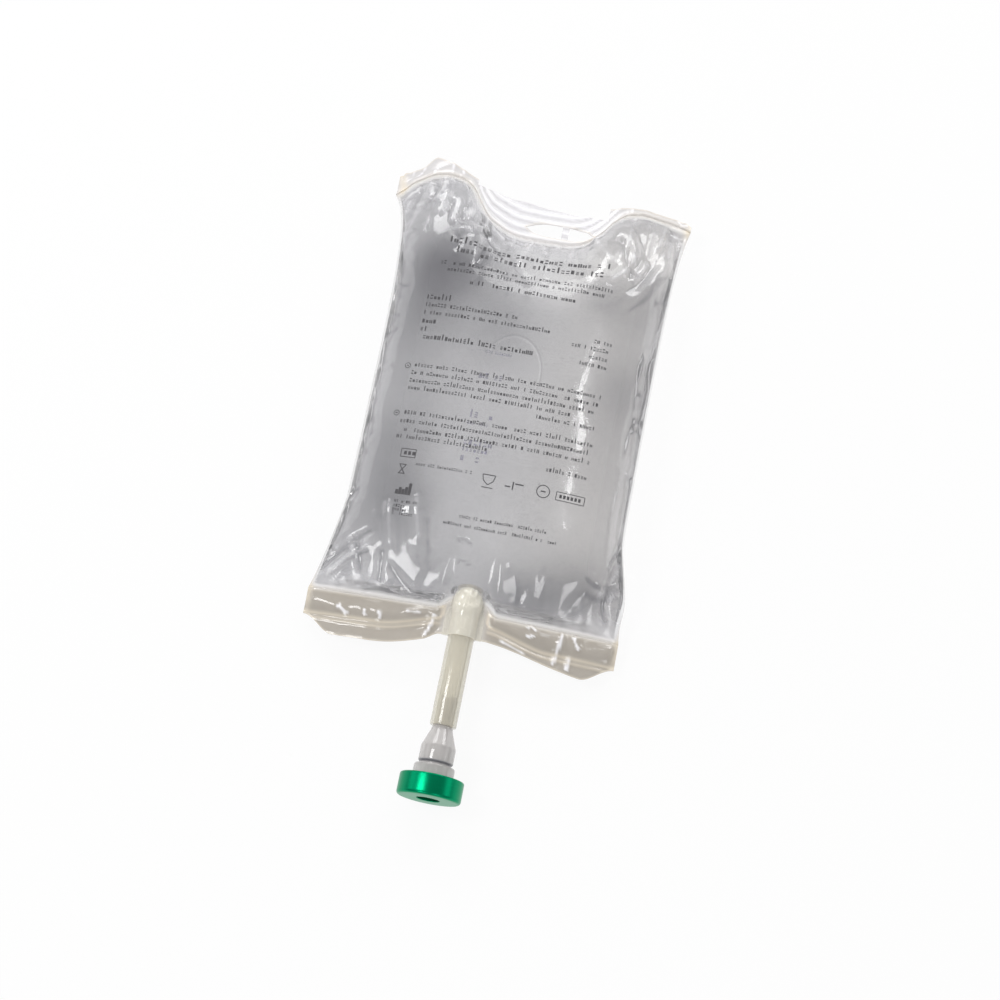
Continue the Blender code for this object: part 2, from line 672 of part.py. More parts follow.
def make_stopper(parts, material):
    """The rubber stopper: a disc on the flange, a plug in the bore and a well for the spike."""
    start, end = stopper_start(), stopper_start() + STOPPER_THICKNESS
    plug_radius = BARREL_BORE_RADIUS - FIT_GAP
    well_radius = CAP_HOLE_RADIUS + CAP_WALL + FIT_GAP
    well_floor = end + CAP_WALL - CAP_HOLE_LIP
    profile = [
        (0.0, well_floor),
        (well_radius, well_floor),
        (well_radius, end),
        (FLANGE_RADIUS, end),
        (FLANGE_RADIUS, start),
        (plug_radius, start),
        (plug_radius, start - STOPPER_PLUG_LENGTH + GROOVE_WIDTH),
        (plug_radius - GROOVE_WIDTH, start - STOPPER_PLUG_LENGTH),
        (0.0, start - STOPPER_PLUG_LENGTH),
    ]
    return turned("rubber_stopper", profile, False, parts, material)


def make_cap(parts, material):
    """The crimped cap: side wall, round shoulder, flat face with a lipped hole, rolled edge."""
    inner = CAP_RADIUS - CAP_WALL
    lip_end = cap_end() - CAP_HOLE_LIP
    quarter = [math.pi / 2.0 * k / SHOULDER_STEPS for k in range(SHOULDER_STEPS + 1)]
    shoulder = [
        (CAP_RADIUS - CAP_SHOULDER * (1.0 - math.sin(a)), cap_end() - CAP_SHOULDER * (1.0 - math.cos(a)))
        for a in quarter
    ]
    edge = [
        (CAP_RADIUS - CAP_ROLL * (1.0 - math.cos(a)), cap_start() + CAP_ROLL * (1.0 - math.sin(a)))
        for a in quarter[::2]
    ]
    profile = [
        (CAP_HOLE_RADIUS, cap_end() - CAP_LIP_EASE),
        (CAP_HOLE_RADIUS + CAP_LIP_EASE, cap_end()),
        *shoulder,
        *edge,
        (COLLAR_RADIUS + FIT_GAP, cap_start()),
        (COLLAR_RADIUS + FIT_GAP, cap_start() + CAP_WALL),
        (inner, cap_start() + CAP_WALL),
        (inner, cap_end() - CAP_WALL),
        (CAP_HOLE_RADIUS + CAP_WALL, cap_end() - CAP_WALL),
        (CAP_HOLE_RADIUS + CAP_WALL, lip_end),
        (CAP_HOLE_RADIUS, lip_end),
    ]
    return turned("crimp_cap", profile, True, parts, material)


def centre_on_origin(pieces):
    """Moves the bag so that the origin is under the middle of its box, on the table."""
    bpy.context.view_layer.update()
    graph = bpy.context.evaluated_depsgraph_get()
    corners = []
    for piece in pieces:
        evaluated = piece.evaluated_get(graph)
        corners += [evaluated.matrix_world @ vertex.co for vertex in evaluated.data.vertices]
    low = Vector(min(corner[k] for corner in corners) for k in range(3))
    high = Vector(max(corner[k] for corner in corners) for k in range(3))
    shift = Vector((-(low.x + high.x) / 2.0, -(low.y + high.y) / 2.0, -low.z))
    for thing in bpy.data.objects:
        thing.location += shift


def main():
    """Makes every piece of the bag."""
    clear_scene()
    scene = bpy.context.scene.collection
    parts = bpy.data.collections.new("saline_bag")
    cutters = bpy.data.collections.new("cutters")
    scene.children.link(parts)
    scene.children.link(cutters)
    film = make_film(parts, cutters, make_material("clear_film", FILM_COLOUR, 0.12, 0.0, 0.8))
    fill = make_fill(parts, cutters, make_material("saline", SALINE_COLOUR, 0.02, 0.0, 0.9))
    tube = make_tube(parts, make_material("soft_tube", TUBE_COLOUR, 0.25, 0.0, 0.5))
    adapter = make_adapter(parts, make_material("clear_plastic", ADAPTER_COLOUR, 0.08, 0.0, 0.8))
    stopper = make_stopper(parts, make_material("grey_rubber", STOPPER_COLOUR, 0.6))
    cap = make_cap(parts, make_material("green_aluminium", CAP_COLOUR, 0.28, 0.9))
    pieces = [film, fill, tube, adapter, stopper, cap]
    for piece in pieces:
        piece.data.shade_smooth()
        piece.data.set_sharp_from_angle(angle=math.radians(35.0))
    centre_on_origin(pieces)


main()
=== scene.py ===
"""Looks of a full 500 ml saline bag that lies on its back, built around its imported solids.

The film, the fluid and the print are made finer here, by the same rules as the solids, with the
folds, puckers and weld beads that soft film shows. Lengths are in metres in the frame of the solids:
X across the bag, Y from the capped port to the hanging strip, Z up. Sizes named for the bag's plan
use that frame too, unless a name says that it is counted from the bottom weld.
"""

from __future__ import annotations

import json
import logging
import math
from dataclasses import dataclass
from enum import Enum
from typing import Any, Sequence

import bmesh
import bpy
import numpy as np
from bpy.types import GeometryNodeTree, Material, Mesh, Object
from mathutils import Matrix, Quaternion, Vector

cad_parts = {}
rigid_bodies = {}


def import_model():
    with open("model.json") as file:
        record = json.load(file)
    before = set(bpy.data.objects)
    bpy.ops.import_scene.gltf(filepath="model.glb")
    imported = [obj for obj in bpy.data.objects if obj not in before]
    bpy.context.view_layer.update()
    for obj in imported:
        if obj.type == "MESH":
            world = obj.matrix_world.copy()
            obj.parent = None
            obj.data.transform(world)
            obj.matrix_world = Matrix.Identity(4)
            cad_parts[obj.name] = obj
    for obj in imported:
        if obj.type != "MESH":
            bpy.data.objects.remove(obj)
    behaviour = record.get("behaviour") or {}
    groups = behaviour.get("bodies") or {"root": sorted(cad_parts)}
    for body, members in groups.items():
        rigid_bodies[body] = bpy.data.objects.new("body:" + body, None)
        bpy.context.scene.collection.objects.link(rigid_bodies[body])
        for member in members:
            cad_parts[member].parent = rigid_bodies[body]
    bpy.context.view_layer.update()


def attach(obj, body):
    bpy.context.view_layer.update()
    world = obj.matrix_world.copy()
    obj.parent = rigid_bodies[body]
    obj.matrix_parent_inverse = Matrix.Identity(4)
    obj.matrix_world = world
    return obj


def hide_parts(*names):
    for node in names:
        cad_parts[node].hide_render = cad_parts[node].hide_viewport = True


log = logging.getLogger("saline_bag")

MM = 0.001
NOISE_CELLS = 96
CORNER_SHARE = 0.49
Array = np.ndarray
Colour = tuple[float, float, float, float]
Point = tuple[float, float]
Triple = tuple[float, float, float]
Line = tuple[Point, ...]
WHITE: Colour = (1.0, 1.0, 1.0, 1.0)


def unit(t: Any) -> Any:
    """A value held between 0 and 1."""
    return np.clip(t, 0.0, 1.0)


def smoothstep(t: Any) -> Any:
    """Rises from 0 to 1 with level ends."""
    t = unit(t)
    return t * t * (3.0 - 2.0 * t)


def bell(off: Any, wide: Any) -> Any:
    """1 where a distance is 0, falling off smoothly to both sides."""
    return np.exp(-((off / wide) ** 2))


def ebb(distance: Any, reach: float) -> Any:
    """1 up to where a distance is 0, fading out beyond that."""
    return np.exp(-np.clip(distance, 0.0, None) / reach)


def drawn(line: Point, off: Any) -> Any:
    """How strongly a line of a given strength and half width shows at a distance from its middle."""
    return line[0] * bell(off, line[1])


def soft_noise(x: Array, y: Array, cell: float, seed: int) -> Array:
    """Smooth noise from -1 to 1 over the plan.

    Args:
        x: Places along X.
        y: Places along Y.
        cell: Distance between the random values.
        seed: Seed of the random values.

    Returns:
        One value for each place.
    """
    table = np.random.default_rng(seed).uniform(-1.0, 1.0, (NOISE_CELLS, NOISE_CELLS))
    across, along = x / cell + NOISE_CELLS / 2, y / cell + NOISE_CELLS / 2
    column, row = np.floor(across).astype(int), np.floor(along).astype(int)
    right, up = smoothstep(across - column), smoothstep(along - row)

    def corner(i: int, j: int) -> Array:
        """Random values at one corner of each place's cell."""
        return table[(row + j) % NOISE_CELLS, (column + i) % NOISE_CELLS]

    low = corner(0, 0) * (1.0 - right) + corner(1, 0) * right
    high = corner(0, 1) * (1.0 - right) + corner(1, 1) * right
    return low * (1.0 - up) + high * up


class Value:
    """A number socket of a node tree that takes part in Python arithmetic."""

    def __init__(self, tree: Tree, socket: bpy.types.NodeSocket) -> None:
        """Wraps a socket."""
        self.tree = tree
        self.socket = socket

    def _maths(self, operation: str, first: Any, second: Any = 0.0) -> Value:
        """One Math node on two values."""
        node = self.tree.node("ShaderNodeMath", {"operation": operation}, {0: first, 1: second})
        return Value(self.tree, node.outputs[0])

    def __add__(self, other: Any) -> Value:
        """Sum."""
        return self._maths("ADD", self, other)

    def __sub__(self, other: Any) -> Value:
        """Difference."""
        return self._maths("SUBTRACT", self, other)

    def __rsub__(self, other: Any) -> Value:
        """Difference from a plain number."""
        return self._maths("SUBTRACT", other, self)

    def __mul__(self, other: Any) -> Value:
        """Product."""
        return self._maths("MULTIPLY", self, other)

    def __truediv__(self, other: Any) -> Value:
        """Quotient."""
        return self._maths("DIVIDE", self, other)

    def bell(self, centre: float, wide: float) -> Value:
        """1 at the centre, falling off smoothly to both sides."""
        off = (self - centre) * (1.0 / wide)
        return self._maths("EXPONENT", (off * off) * -1.0)

    def below(self, limit: float) -> Value:
        """1 where the value is below a limit, else 0."""
        return self._maths("LESS_THAN", self, limit)

    def root(self) -> Value:
        """Square root."""
        return self._maths("SQRT", self)

    def at_most(self, other: Any) -> Value:
        """The smaller of two values."""
        return self._maths("MINIMUM", self, other)

    def at_least(self, other: Any) -> Value:
        """The larger of two values."""
        return self._maths("MAXIMUM", self, other)

    def unit(self) -> Value:
        """The value held between 0 and 1."""
        return self.at_least(0.0).at_most(1.0)

    __radd__ = __add__
    __rmul__ = __mul__


class Tree:
    """Makes the nodes of one shader or geometry tree."""

    def __init__(self, tree: bpy.types.NodeTree) -> None:
        """Takes an existing tree and empties it."""
        self.tree = tree
        tree.nodes.clear()

    def node(self, kind: str, settings: dict | None = None, sockets: dict | None = None) -> Any:
        """Adds a node.

        Args:
            kind: The node's type.
            settings: Properties set before the sockets; stops is a ramp's list of (place, colour).
            sockets: Values or links by input name or number.

        Returns:
            The node.
        """
        node = self.tree.nodes.new(kind)
        for name, value in (settings or {}).items():
            if name == "stops":
                self._set_stops(node.color_ramp, value)
            else:
                setattr(node, name, value)
        for name, value in (sockets or {}).items():
            if isinstance(value, Value):
                value = value.socket
            links = value if isinstance(value, list) else [value]
            if isinstance(links[0], bpy.types.NodeSocket):
                for link in links:
                    self.tree.links.new(link, node.inputs[name])
            else:
                node.inputs[name].default_value = value
        return node

    def out(self, kind: str, sockets: dict, settings: dict | None = None) -> Any:
        """The first output of a new node."""
        return self.node(kind, settings, sockets).outputs[0]

    @staticmethod
    def _set_stops(ramp: bpy.types.ColorRamp, stops: Sequence[tuple[float, Colour]]) -> None:
        """Fills a colour ramp from a list of places and colours."""
        while len(ramp.elements) < len(stops):
            ramp.elements.new(1.0)
        for element, (place, colour) in zip(ramp.elements, stops):
            element.position, element.color = place, colour

    def value(self, node: Any, output: Any = 0) -> Value:
        """A node's output as a number for arithmetic."""
        return Value(self, node.outputs[output])

    def attribute(self, name: str) -> Value:
        """A number stored on the piece's mesh."""
        return self.value(self.node("ShaderNodeAttribute", {"attribute_name": name}), "Fac")

    def place(self) -> Any:
        """The socket of the piece's own coordinates."""
        return self.node("ShaderNodeTexCoord").outputs["Object"]

    def axes(self) -> list[Value]:
        """The piece's own X, Y and Z."""
        node = self.node("ShaderNodeSeparateXYZ", None, {0: self.place()})
        return [self.value(node, name) for name in ("X", "Y", "Z")]

    def noise(self, scale: float, detail: float = 2.0, stretch: Sequence[float] = (1, 1, 1)) -> Value:
        """Noise over the piece, from 0 to 1."""
        mapped = self.out("ShaderNodeMapping", {"Vector": self.place(), "Scale": stretch})
        sockets = {"Vector": mapped, "Scale": scale, "Detail": detail}
        return self.value(self.node("ShaderNodeTexNoise", None, sockets), "Fac")

    def mixed_colour(self, share: Any, first: Any, second: Any) -> Any:
        """The socket of a mix of two colours."""
        sockets = {0: share, 6: first, 7: second}
        return self.node("ShaderNodeMix", {"data_type": "RGBA"}, sockets).outputs[2]

    def mixed_shader(self, share: Any, first: Any, second: Any) -> Any:
        """The socket of a mix of two shaders."""
        return self.out("ShaderNodeMixShader", {0: share, 1: first, 2: second})

    def bump(self, height: Value, depth: float) -> Any:
        """The socket of a normal that follows a height field of the given depth."""
        return self.out("ShaderNodeBump", {"Height": height, "Distance": depth})

    def principled(self, sockets: dict) -> Any:
        """The socket of a Principled shader with these values or links."""
        return self.out("ShaderNodeBsdfPrincipled", sockets)

    def see_through(self, haze: Any, tint: Colour, body: Any) -> Any:
        """The socket of a clear, tinted wall with a share of hazy body in it."""
        clear = self.out("ShaderNodeBsdfTransparent", {"Color": tint})
        return self.mixed_shader(haze, clear, body)

    def under_gloss(self, wall: Any, ior: float, roughness: Any, normal: Any) -> Any:
        """The socket of a wall under a gloss that only its outer face shows, by the angle of view."""
        fresnel = self.value(self.node("ShaderNodeFresnel", None, {"IOR": ior, "Normal": normal}))
        behind = self.value(self.node("ShaderNodeNewGeometry"), "Backfacing")
        shine = self.out(
            "ShaderNodeBsdfGlossy", {"Color": WHITE, "Roughness": roughness, "Normal": normal}
        )
        return self.mixed_shader(fresnel * (1.0 - behind), wall, shine)

    def finish(self, surface: Any) -> None:
        """Links the surface to the material's output."""
        self.node("ShaderNodeOutputMaterial", None, {"Surface": surface})


@dataclass(frozen=True)
class Finish:
    """A finish that makes its own material."""

    name: str = "finish"

    def material(self) -> Material:
        """The finished material."""
        made = bpy.data.materials.new(self.name)
        made.use_nodes = True
        tree = Tree(made.node_tree)
        tree.finish(self.surface(tree))
        return made

    def surface(self, tree: Tree) -> Any:
        """The socket of the shader; each finish builds its own."""
        raise NotImplementedError


@dataclass(frozen=True)
class FilmFinish(Finish):
    """Clear soft film: a faint haze that shows what lies behind, under a wet gloss.

    A pair for a part of the film is its least haze and what the cloudy pattern adds to it.
    """

    name: str = "clear_soft_film"
    clear_colour: Colour = (0.74, 0.74, 0.77, 1.0)
    white_colour: Colour = (0.93, 0.92, 0.945, 1.0)
    cream_colour: Colour = (0.84, 0.76, 0.63, 1.0)
    flap_colour: Colour = (0.45, 0.409, 0.356, 1.0)
    through: Colour = (0.97, 0.97, 0.97, 1.0)
    haze: float = 0.10
    flap_haze: Point = (0.50, 0.30)
    whitening_haze: Point = (0.28, 0.25)
    ridge_haze: float = 0.34
    bead_haze: float = 0.5
    most_haze: float = 0.94
    cloud_scale: float = 55.0
    grain_scale: float = 240.0
    grain_depth: float = 0.00008
    body_roughness: float = 0.45
    gloss_roughness: Triple = (0.075, 0.10, 0.08)
    ior: float = 1.5

    def surface(self, tree: Tree) -> Any:
        """Haze by the part of the film, gloss by the angle of view. The whitening value is partly the film's
        own haze and partly painted sheen and highlights.
        """
        bead, flap, ear, ridge = (tree.attribute(name) for name in ("bead", "flap", "ear", "ridge"))
        cloud = tree.noise(self.cloud_scale, 3.0)
        colour = tree.mixed_colour(flap, self.clear_colour, self.flap_colour)
        # White where the film is hazed, and where sheen and highlights are painted on near the welds, along
        # the sides and in the lower corners.
        colour = tree.mixed_colour((ear + ridge).at_most(1.0), colour, self.white_colour)
        colour = tree.mixed_colour(bead, colour, self.cream_colour)
        haze = self.haze * (0.5 + cloud) + flap * (self.flap_haze[0] + cloud * self.flap_haze[1])
        haze = haze + ear * (self.whitening_haze[0] + cloud * self.whitening_haze[1])
        haze = (haze + ridge * self.ridge_haze + bead * self.bead_haze).at_most(self.most_haze)
        normal = tree.bump(tree.noise(self.grain_scale, 2.0, (1.0, 0.6, 1.0)), self.grain_depth)
        sockets = {"Base Color": colour, "Roughness": self.body_roughness, "Specular IOR Level": 0.0}
        film = tree.see_through(haze, self.through, tree.principled({**sockets, "Normal": normal}))
        least, by_cloud, by_ear = self.gloss_roughness
        return tree.under_gloss(film, self.ior, least + cloud * by_cloud + ear * by_ear, normal)


@dataclass(frozen=True)
class Shade:
    """A soft patch that is lighter or darker than the rest, over the plan; sizes in metres."""

    x: float
    y: float
    wide: float
    tall: float
    change: float


@dataclass(frozen=True)
class WaterFinish(Finish):
    """Clear fluid that bends what is seen through it and lets lamps through to the table."""

    name: str = "clear_saline"
    level: float = 0.495
    low_colour: Colour = (0.118, 0.116, 0.130, 1.0)
    high_colour: Colour = (0.925, 0.92, 0.928, 1.0)
    warm_colour: Colour = (0.92, 0.895, 0.865, 1.0)
    lamp_tint: Colour = (0.86, 0.86, 0.87, 1.0)
    warm_place: Point = (0.050, 0.034)
    ior: float = 1.33
    cloud_scale: float = 22.0
    cloud_depth: float = 0.34
    crease_shade_depth: float = 0.28
    least_level: float = 0.02
    shades: tuple[Shade, ...] = ()
    ring: Shade = Shade(0.001, 0.0395, 0.0128, 0.0168, 0.0)
    ring_light: Point = (0.955, 0.035)
    ring_dark: Point = (1.0, 0.03)
    ring_lit_from: Triple = (0.45, 0.60, 0.50)
    ring_least: float = 0.14
    front_start: float = 0.012

    def ring_level(self, x: Value, y: Value, z: Value) -> Value:
        """What the ring adds on the front: a painted highlight line beside a painted shade line, fading away
        from its lit side.
        """
        front = (z * (1.0 / self.front_start) - 1.0).unit()
        across = (x - self.ring.x) * (1.0 / self.ring.wide)
        along = (y - self.ring.y) * (1.0 / self.ring.tall)
        off = (across * across + along * along).root()
        by_x, by_y, middle = self.ring_lit_from
        lit = (across * by_x + along * by_y + middle).at_least(self.ring_least).at_most(1.0)
        return (off.bell(*self.ring_light) - off.bell(*self.ring_dark)) * front * lit * self.ring.change

    def surface(self, tree: Tree) -> Any:
        """Smooth refraction in slow clouds, with painted light and shade, and plain see-through for rays from
        lamps.
        """
        x, y, z = tree.axes()
        level = self.level + (tree.noise(self.cloud_scale, 3.0) - 0.5) * self.cloud_depth
        # Painted light and shade: soft patches that lighten or darken the fluid's tint.
        for shade in self.shades:
            level = level + x.bell(shade.x, shade.wide) * y.bell(shade.y, shade.tall) * shade.change
        # Painted shade: the fluid is darker under the hollows of the front.
        level = level + self.ring_level(x, y, z) - tree.attribute("valley") * self.crease_shade_depth
        level = level.at_least(self.least_level).at_most(1.0)
        high = tree.mixed_colour(x.bell(*self.warm_place), self.high_colour, self.warm_colour)
        colour = tree.mixed_colour(level, self.low_colour, high)
        sockets = {"Base Color": colour, "Roughness": 0.0, "IOR": self.ior, "Transmission Weight": 1.0}
        clear = tree.out("ShaderNodeBsdfTransparent", {"Color": self.lamp_tint})
        lamp_ray = tree.value(tree.node("ShaderNodeLightPath"), "Is Shadow Ray")
        return tree.mixed_shader(lamp_ray, tree.principled(sockets), clear)


@dataclass(frozen=True)
class InkFinish(Finish):
    """Matt print ink."""

    name: str = "print_ink"
    colour: Colour = (0.045, 0.043, 0.048, 1.0)
    cover: float = 0.96
    thinnest: float = 0.25
    wear_scale: float = 900.0
    wear_depth: float = 0.5
    roughness: float = 0.5

    def surface(self, tree: Tree) -> Any:
        """Flat ink that thins a little here and there."""
        wear = tree.noise(self.wear_scale, 2.0) * self.wear_depth
        cover = (self.cover - self.thinnest + wear).at_most(self.cover)
        return tree.principled({"Base Color": self.colour, "Roughness": self.roughness, "Alpha": cover})


@dataclass(frozen=True)
class HazyPlasticFinish(Finish):
    """Moulded or extruded plastic that is partly see-through under a gloss."""

    name: str = "hazy_plastic"
    colour: Colour = (0.70, 0.667, 0.59, 1.0)
    through: Colour = (0.95, 0.94, 0.89, 1.0)
    groove_shade_colour: Colour = (0.16, 0.16, 0.18, 1.0)
    pale_share: float = 1.15
    haze: float = 0.34
    cloud_haze: float = 0.10
    groove_shade_haze: float = 0.6
    most_haze: float = 0.95
    rim: float = 0.45
    rim_blend: float = 0.35
    roughness: float = 0.13
    body_roughness: float = 0.4
    ior: float = 1.5
    grain: float = 300.0
    grain_depth: float = 0.000022
    groove: Point = (1.0, 0.001)

    def surface(self, tree: Tree) -> Any:
        """Haze over tinted see-through, under gloss by the angle of view."""
        cloud = tree.noise(self.grain * 0.5, 3.0, (1.0, 0.25, 1.0))
        normal = tree.bump(tree.noise(self.grain, 2.0, (1.0, 0.3, 1.0)), self.grain_depth)
        pale = tuple(min(1.0, c * self.pale_share) for c in self.colour[:3]) + (1.0,)
        # Painted shade: a darker, hazier band along the adapter's groove.
        groove = tree.axes()[1].bell(*self.groove)
        colour = tree.mixed_colour(groove, tree.mixed_colour(cloud, self.colour, pale), self.groove_shade_colour)
        sockets = {"Base Color": colour, "Roughness": self.body_roughness, "Specular IOR Level": 0.0}
        edge = tree.value(tree.node("ShaderNodeLayerWeight", None, {"Blend": self.rim_blend}), "Facing")
        haze = edge * edge * self.rim + (self.haze - self.cloud_haze / 2.0) + cloud * self.cloud_haze
        haze = (haze + groove * self.groove_shade_haze).at_most(self.most_haze)
        wall = tree.see_through(haze, self.through, tree.principled({**sockets, "Normal": normal}))
        return tree.under_gloss(wall, self.ior, self.roughness, normal)


@dataclass(frozen=True)
class RubberFinish(Finish):
    """Dull moulded rubber."""

    name: str = "grey_moulded_rubber"
    colour: Colour = (0.11, 0.11, 0.12, 1.0)
    worn_colour: Colour = (0.17, 0.17, 0.18, 1.0)
    grain_scale: float = 2200.0
    grain_depth: float = 0.00006
    roughness: Point = (0.5, 0.2)

    def surface(self, tree: Tree) -> Any:
        """Grey rubber with a fine moulded grain."""
        grain = tree.noise(self.grain_scale, 3.0)
        return tree.principled({
            "Base Color": tree.mixed_colour(grain, self.colour, self.worn_colour),
            "Roughness": self.roughness[0] + grain * self.roughness[1],
            "Normal": tree.bump(grain, self.grain_depth),
        })


@dataclass(frozen=True)
class AnodisedFinish(Finish):
    """Dyed, anodised aluminium with a satin gloss."""

    name: str = "green_anodised_aluminium"
    colour: Colour = (0.002, 0.305, 0.138, 1.0)
    deep_colour: Colour = (0.001, 0.255, 0.112, 1.0)
    mark_scale: float = 180.0
    mark_stretch: Triple = (0.6, 12.0, 0.6)
    mark_depth: float = 0.000012
    roughness: Point = (0.27, 0.08)

    def surface(self, tree: Tree) -> Any:
        """Metal with fine marks from the crimping rollers, which run round the cap."""
        marks = tree.noise(self.mark_scale, 4.0, self.mark_stretch)
        return tree.principled({
            "Base Color": tree.mixed_colour(marks, self.deep_colour, self.colour),
            "Metallic": 1.0,
            "Roughness": self.roughness[0] + marks * self.roughness[1],
            "Normal": tree.bump(marks, self.mark_depth),
        })


def set_numbers(mesh: Mesh, name: str, values: Array) -> None:
    """Stores one number for each point of a mesh."""
    mesh.attributes.new(name, "FLOAT", "POINT").data.foreach_set("value", values.astype(np.float32))


def points_of(mesh: Mesh) -> Array:
    """The places of a mesh's points, one row each."""
    places = np.zeros(len(mesh.vertices) * 3, np.float32)
    mesh.vertices.foreach_get("co", places)
    return places.reshape(-1, 3).astype(float)


def new_piece(name: str, mesh: Mesh, finish: Material, crease: float) -> Object:
    """Puts a mesh into the scene as a smooth piece with one finish.

    Args:
        name: The piece's name.
        mesh: Its mesh, already in place.
        finish: Its material.
        crease: Angle in degrees past which an edge stays sharp.

    Returns:
        The object.
    """
    mesh.materials.clear()
    mesh.materials.append(finish)
    mesh.shade_smooth()
    mesh.set_sharp_from_angle(angle=math.radians(crease))
    return linked(name, mesh)


def evaluated_mesh(thing: Object) -> Mesh:
    """A plain copy of what an object's modifiers make."""
    bpy.context.view_layer.update()
    graph = bpy.context.evaluated_depsgraph_get()
    return bpy.data.meshes.new_from_object(thing.evaluated_get(graph))


def tidy_mesh(mesh: Mesh, merge: float = 1e-6) -> Mesh:
    """Merges doubled points and turns the faces outwards."""
    body = bmesh.new()
    body.from_mesh(mesh)
    bmesh.ops.remove_doubles(body, verts=body.verts, dist=merge)
    bmesh.ops.recalc_face_normals(body, faces=body.faces)
    body.to_mesh(mesh)
    body.free()
    return mesh


def linked(name: str, data: Any) -> Object:
    """A new object in the scene."""
    thing = bpy.data.objects.new(name, data)
    bpy.context.scene.collection.objects.link(thing)
    return thing


def new_tree(name: str, inputs: Sequence[tuple[str, str]]) -> GeometryNodeTree:
    """An empty geometry tree with named inputs, each a name and a kind of socket."""
    group = bpy.data.node_groups.new(name, "GeometryNodeTree")
    for label, kind in inputs:
        group.interface.new_socket(name=label, in_out="INPUT", socket_type="NodeSocket" + kind)
    group.interface.new_socket(name="Geometry", in_out="OUTPUT", socket_type="NodeSocketGeometry")
    return group


def run_tree(start: Any, group: GeometryNodeTree, values: dict) -> Mesh:
    """Runs a geometry tree on a guide object, which is then removed.

    Args:
        start: The mesh or curve that the tree starts from.
        group: The tree.
        values: The tree's inputs by name.

    Returns:
        What the tree makes, as a plain mesh.
    """
    guide = linked("guide", start)
    step = guide.modifiers.new("tree", "NODES")
    step.node_group = group
    names = {item.name: item.identifier for item in group.interface.items_tree}
    for name, value in values.items():
        step[names[name]] = value
    mesh = evaluated_mesh(guide)
    bpy.data.objects.remove(guide, do_unlink=True)
    return mesh


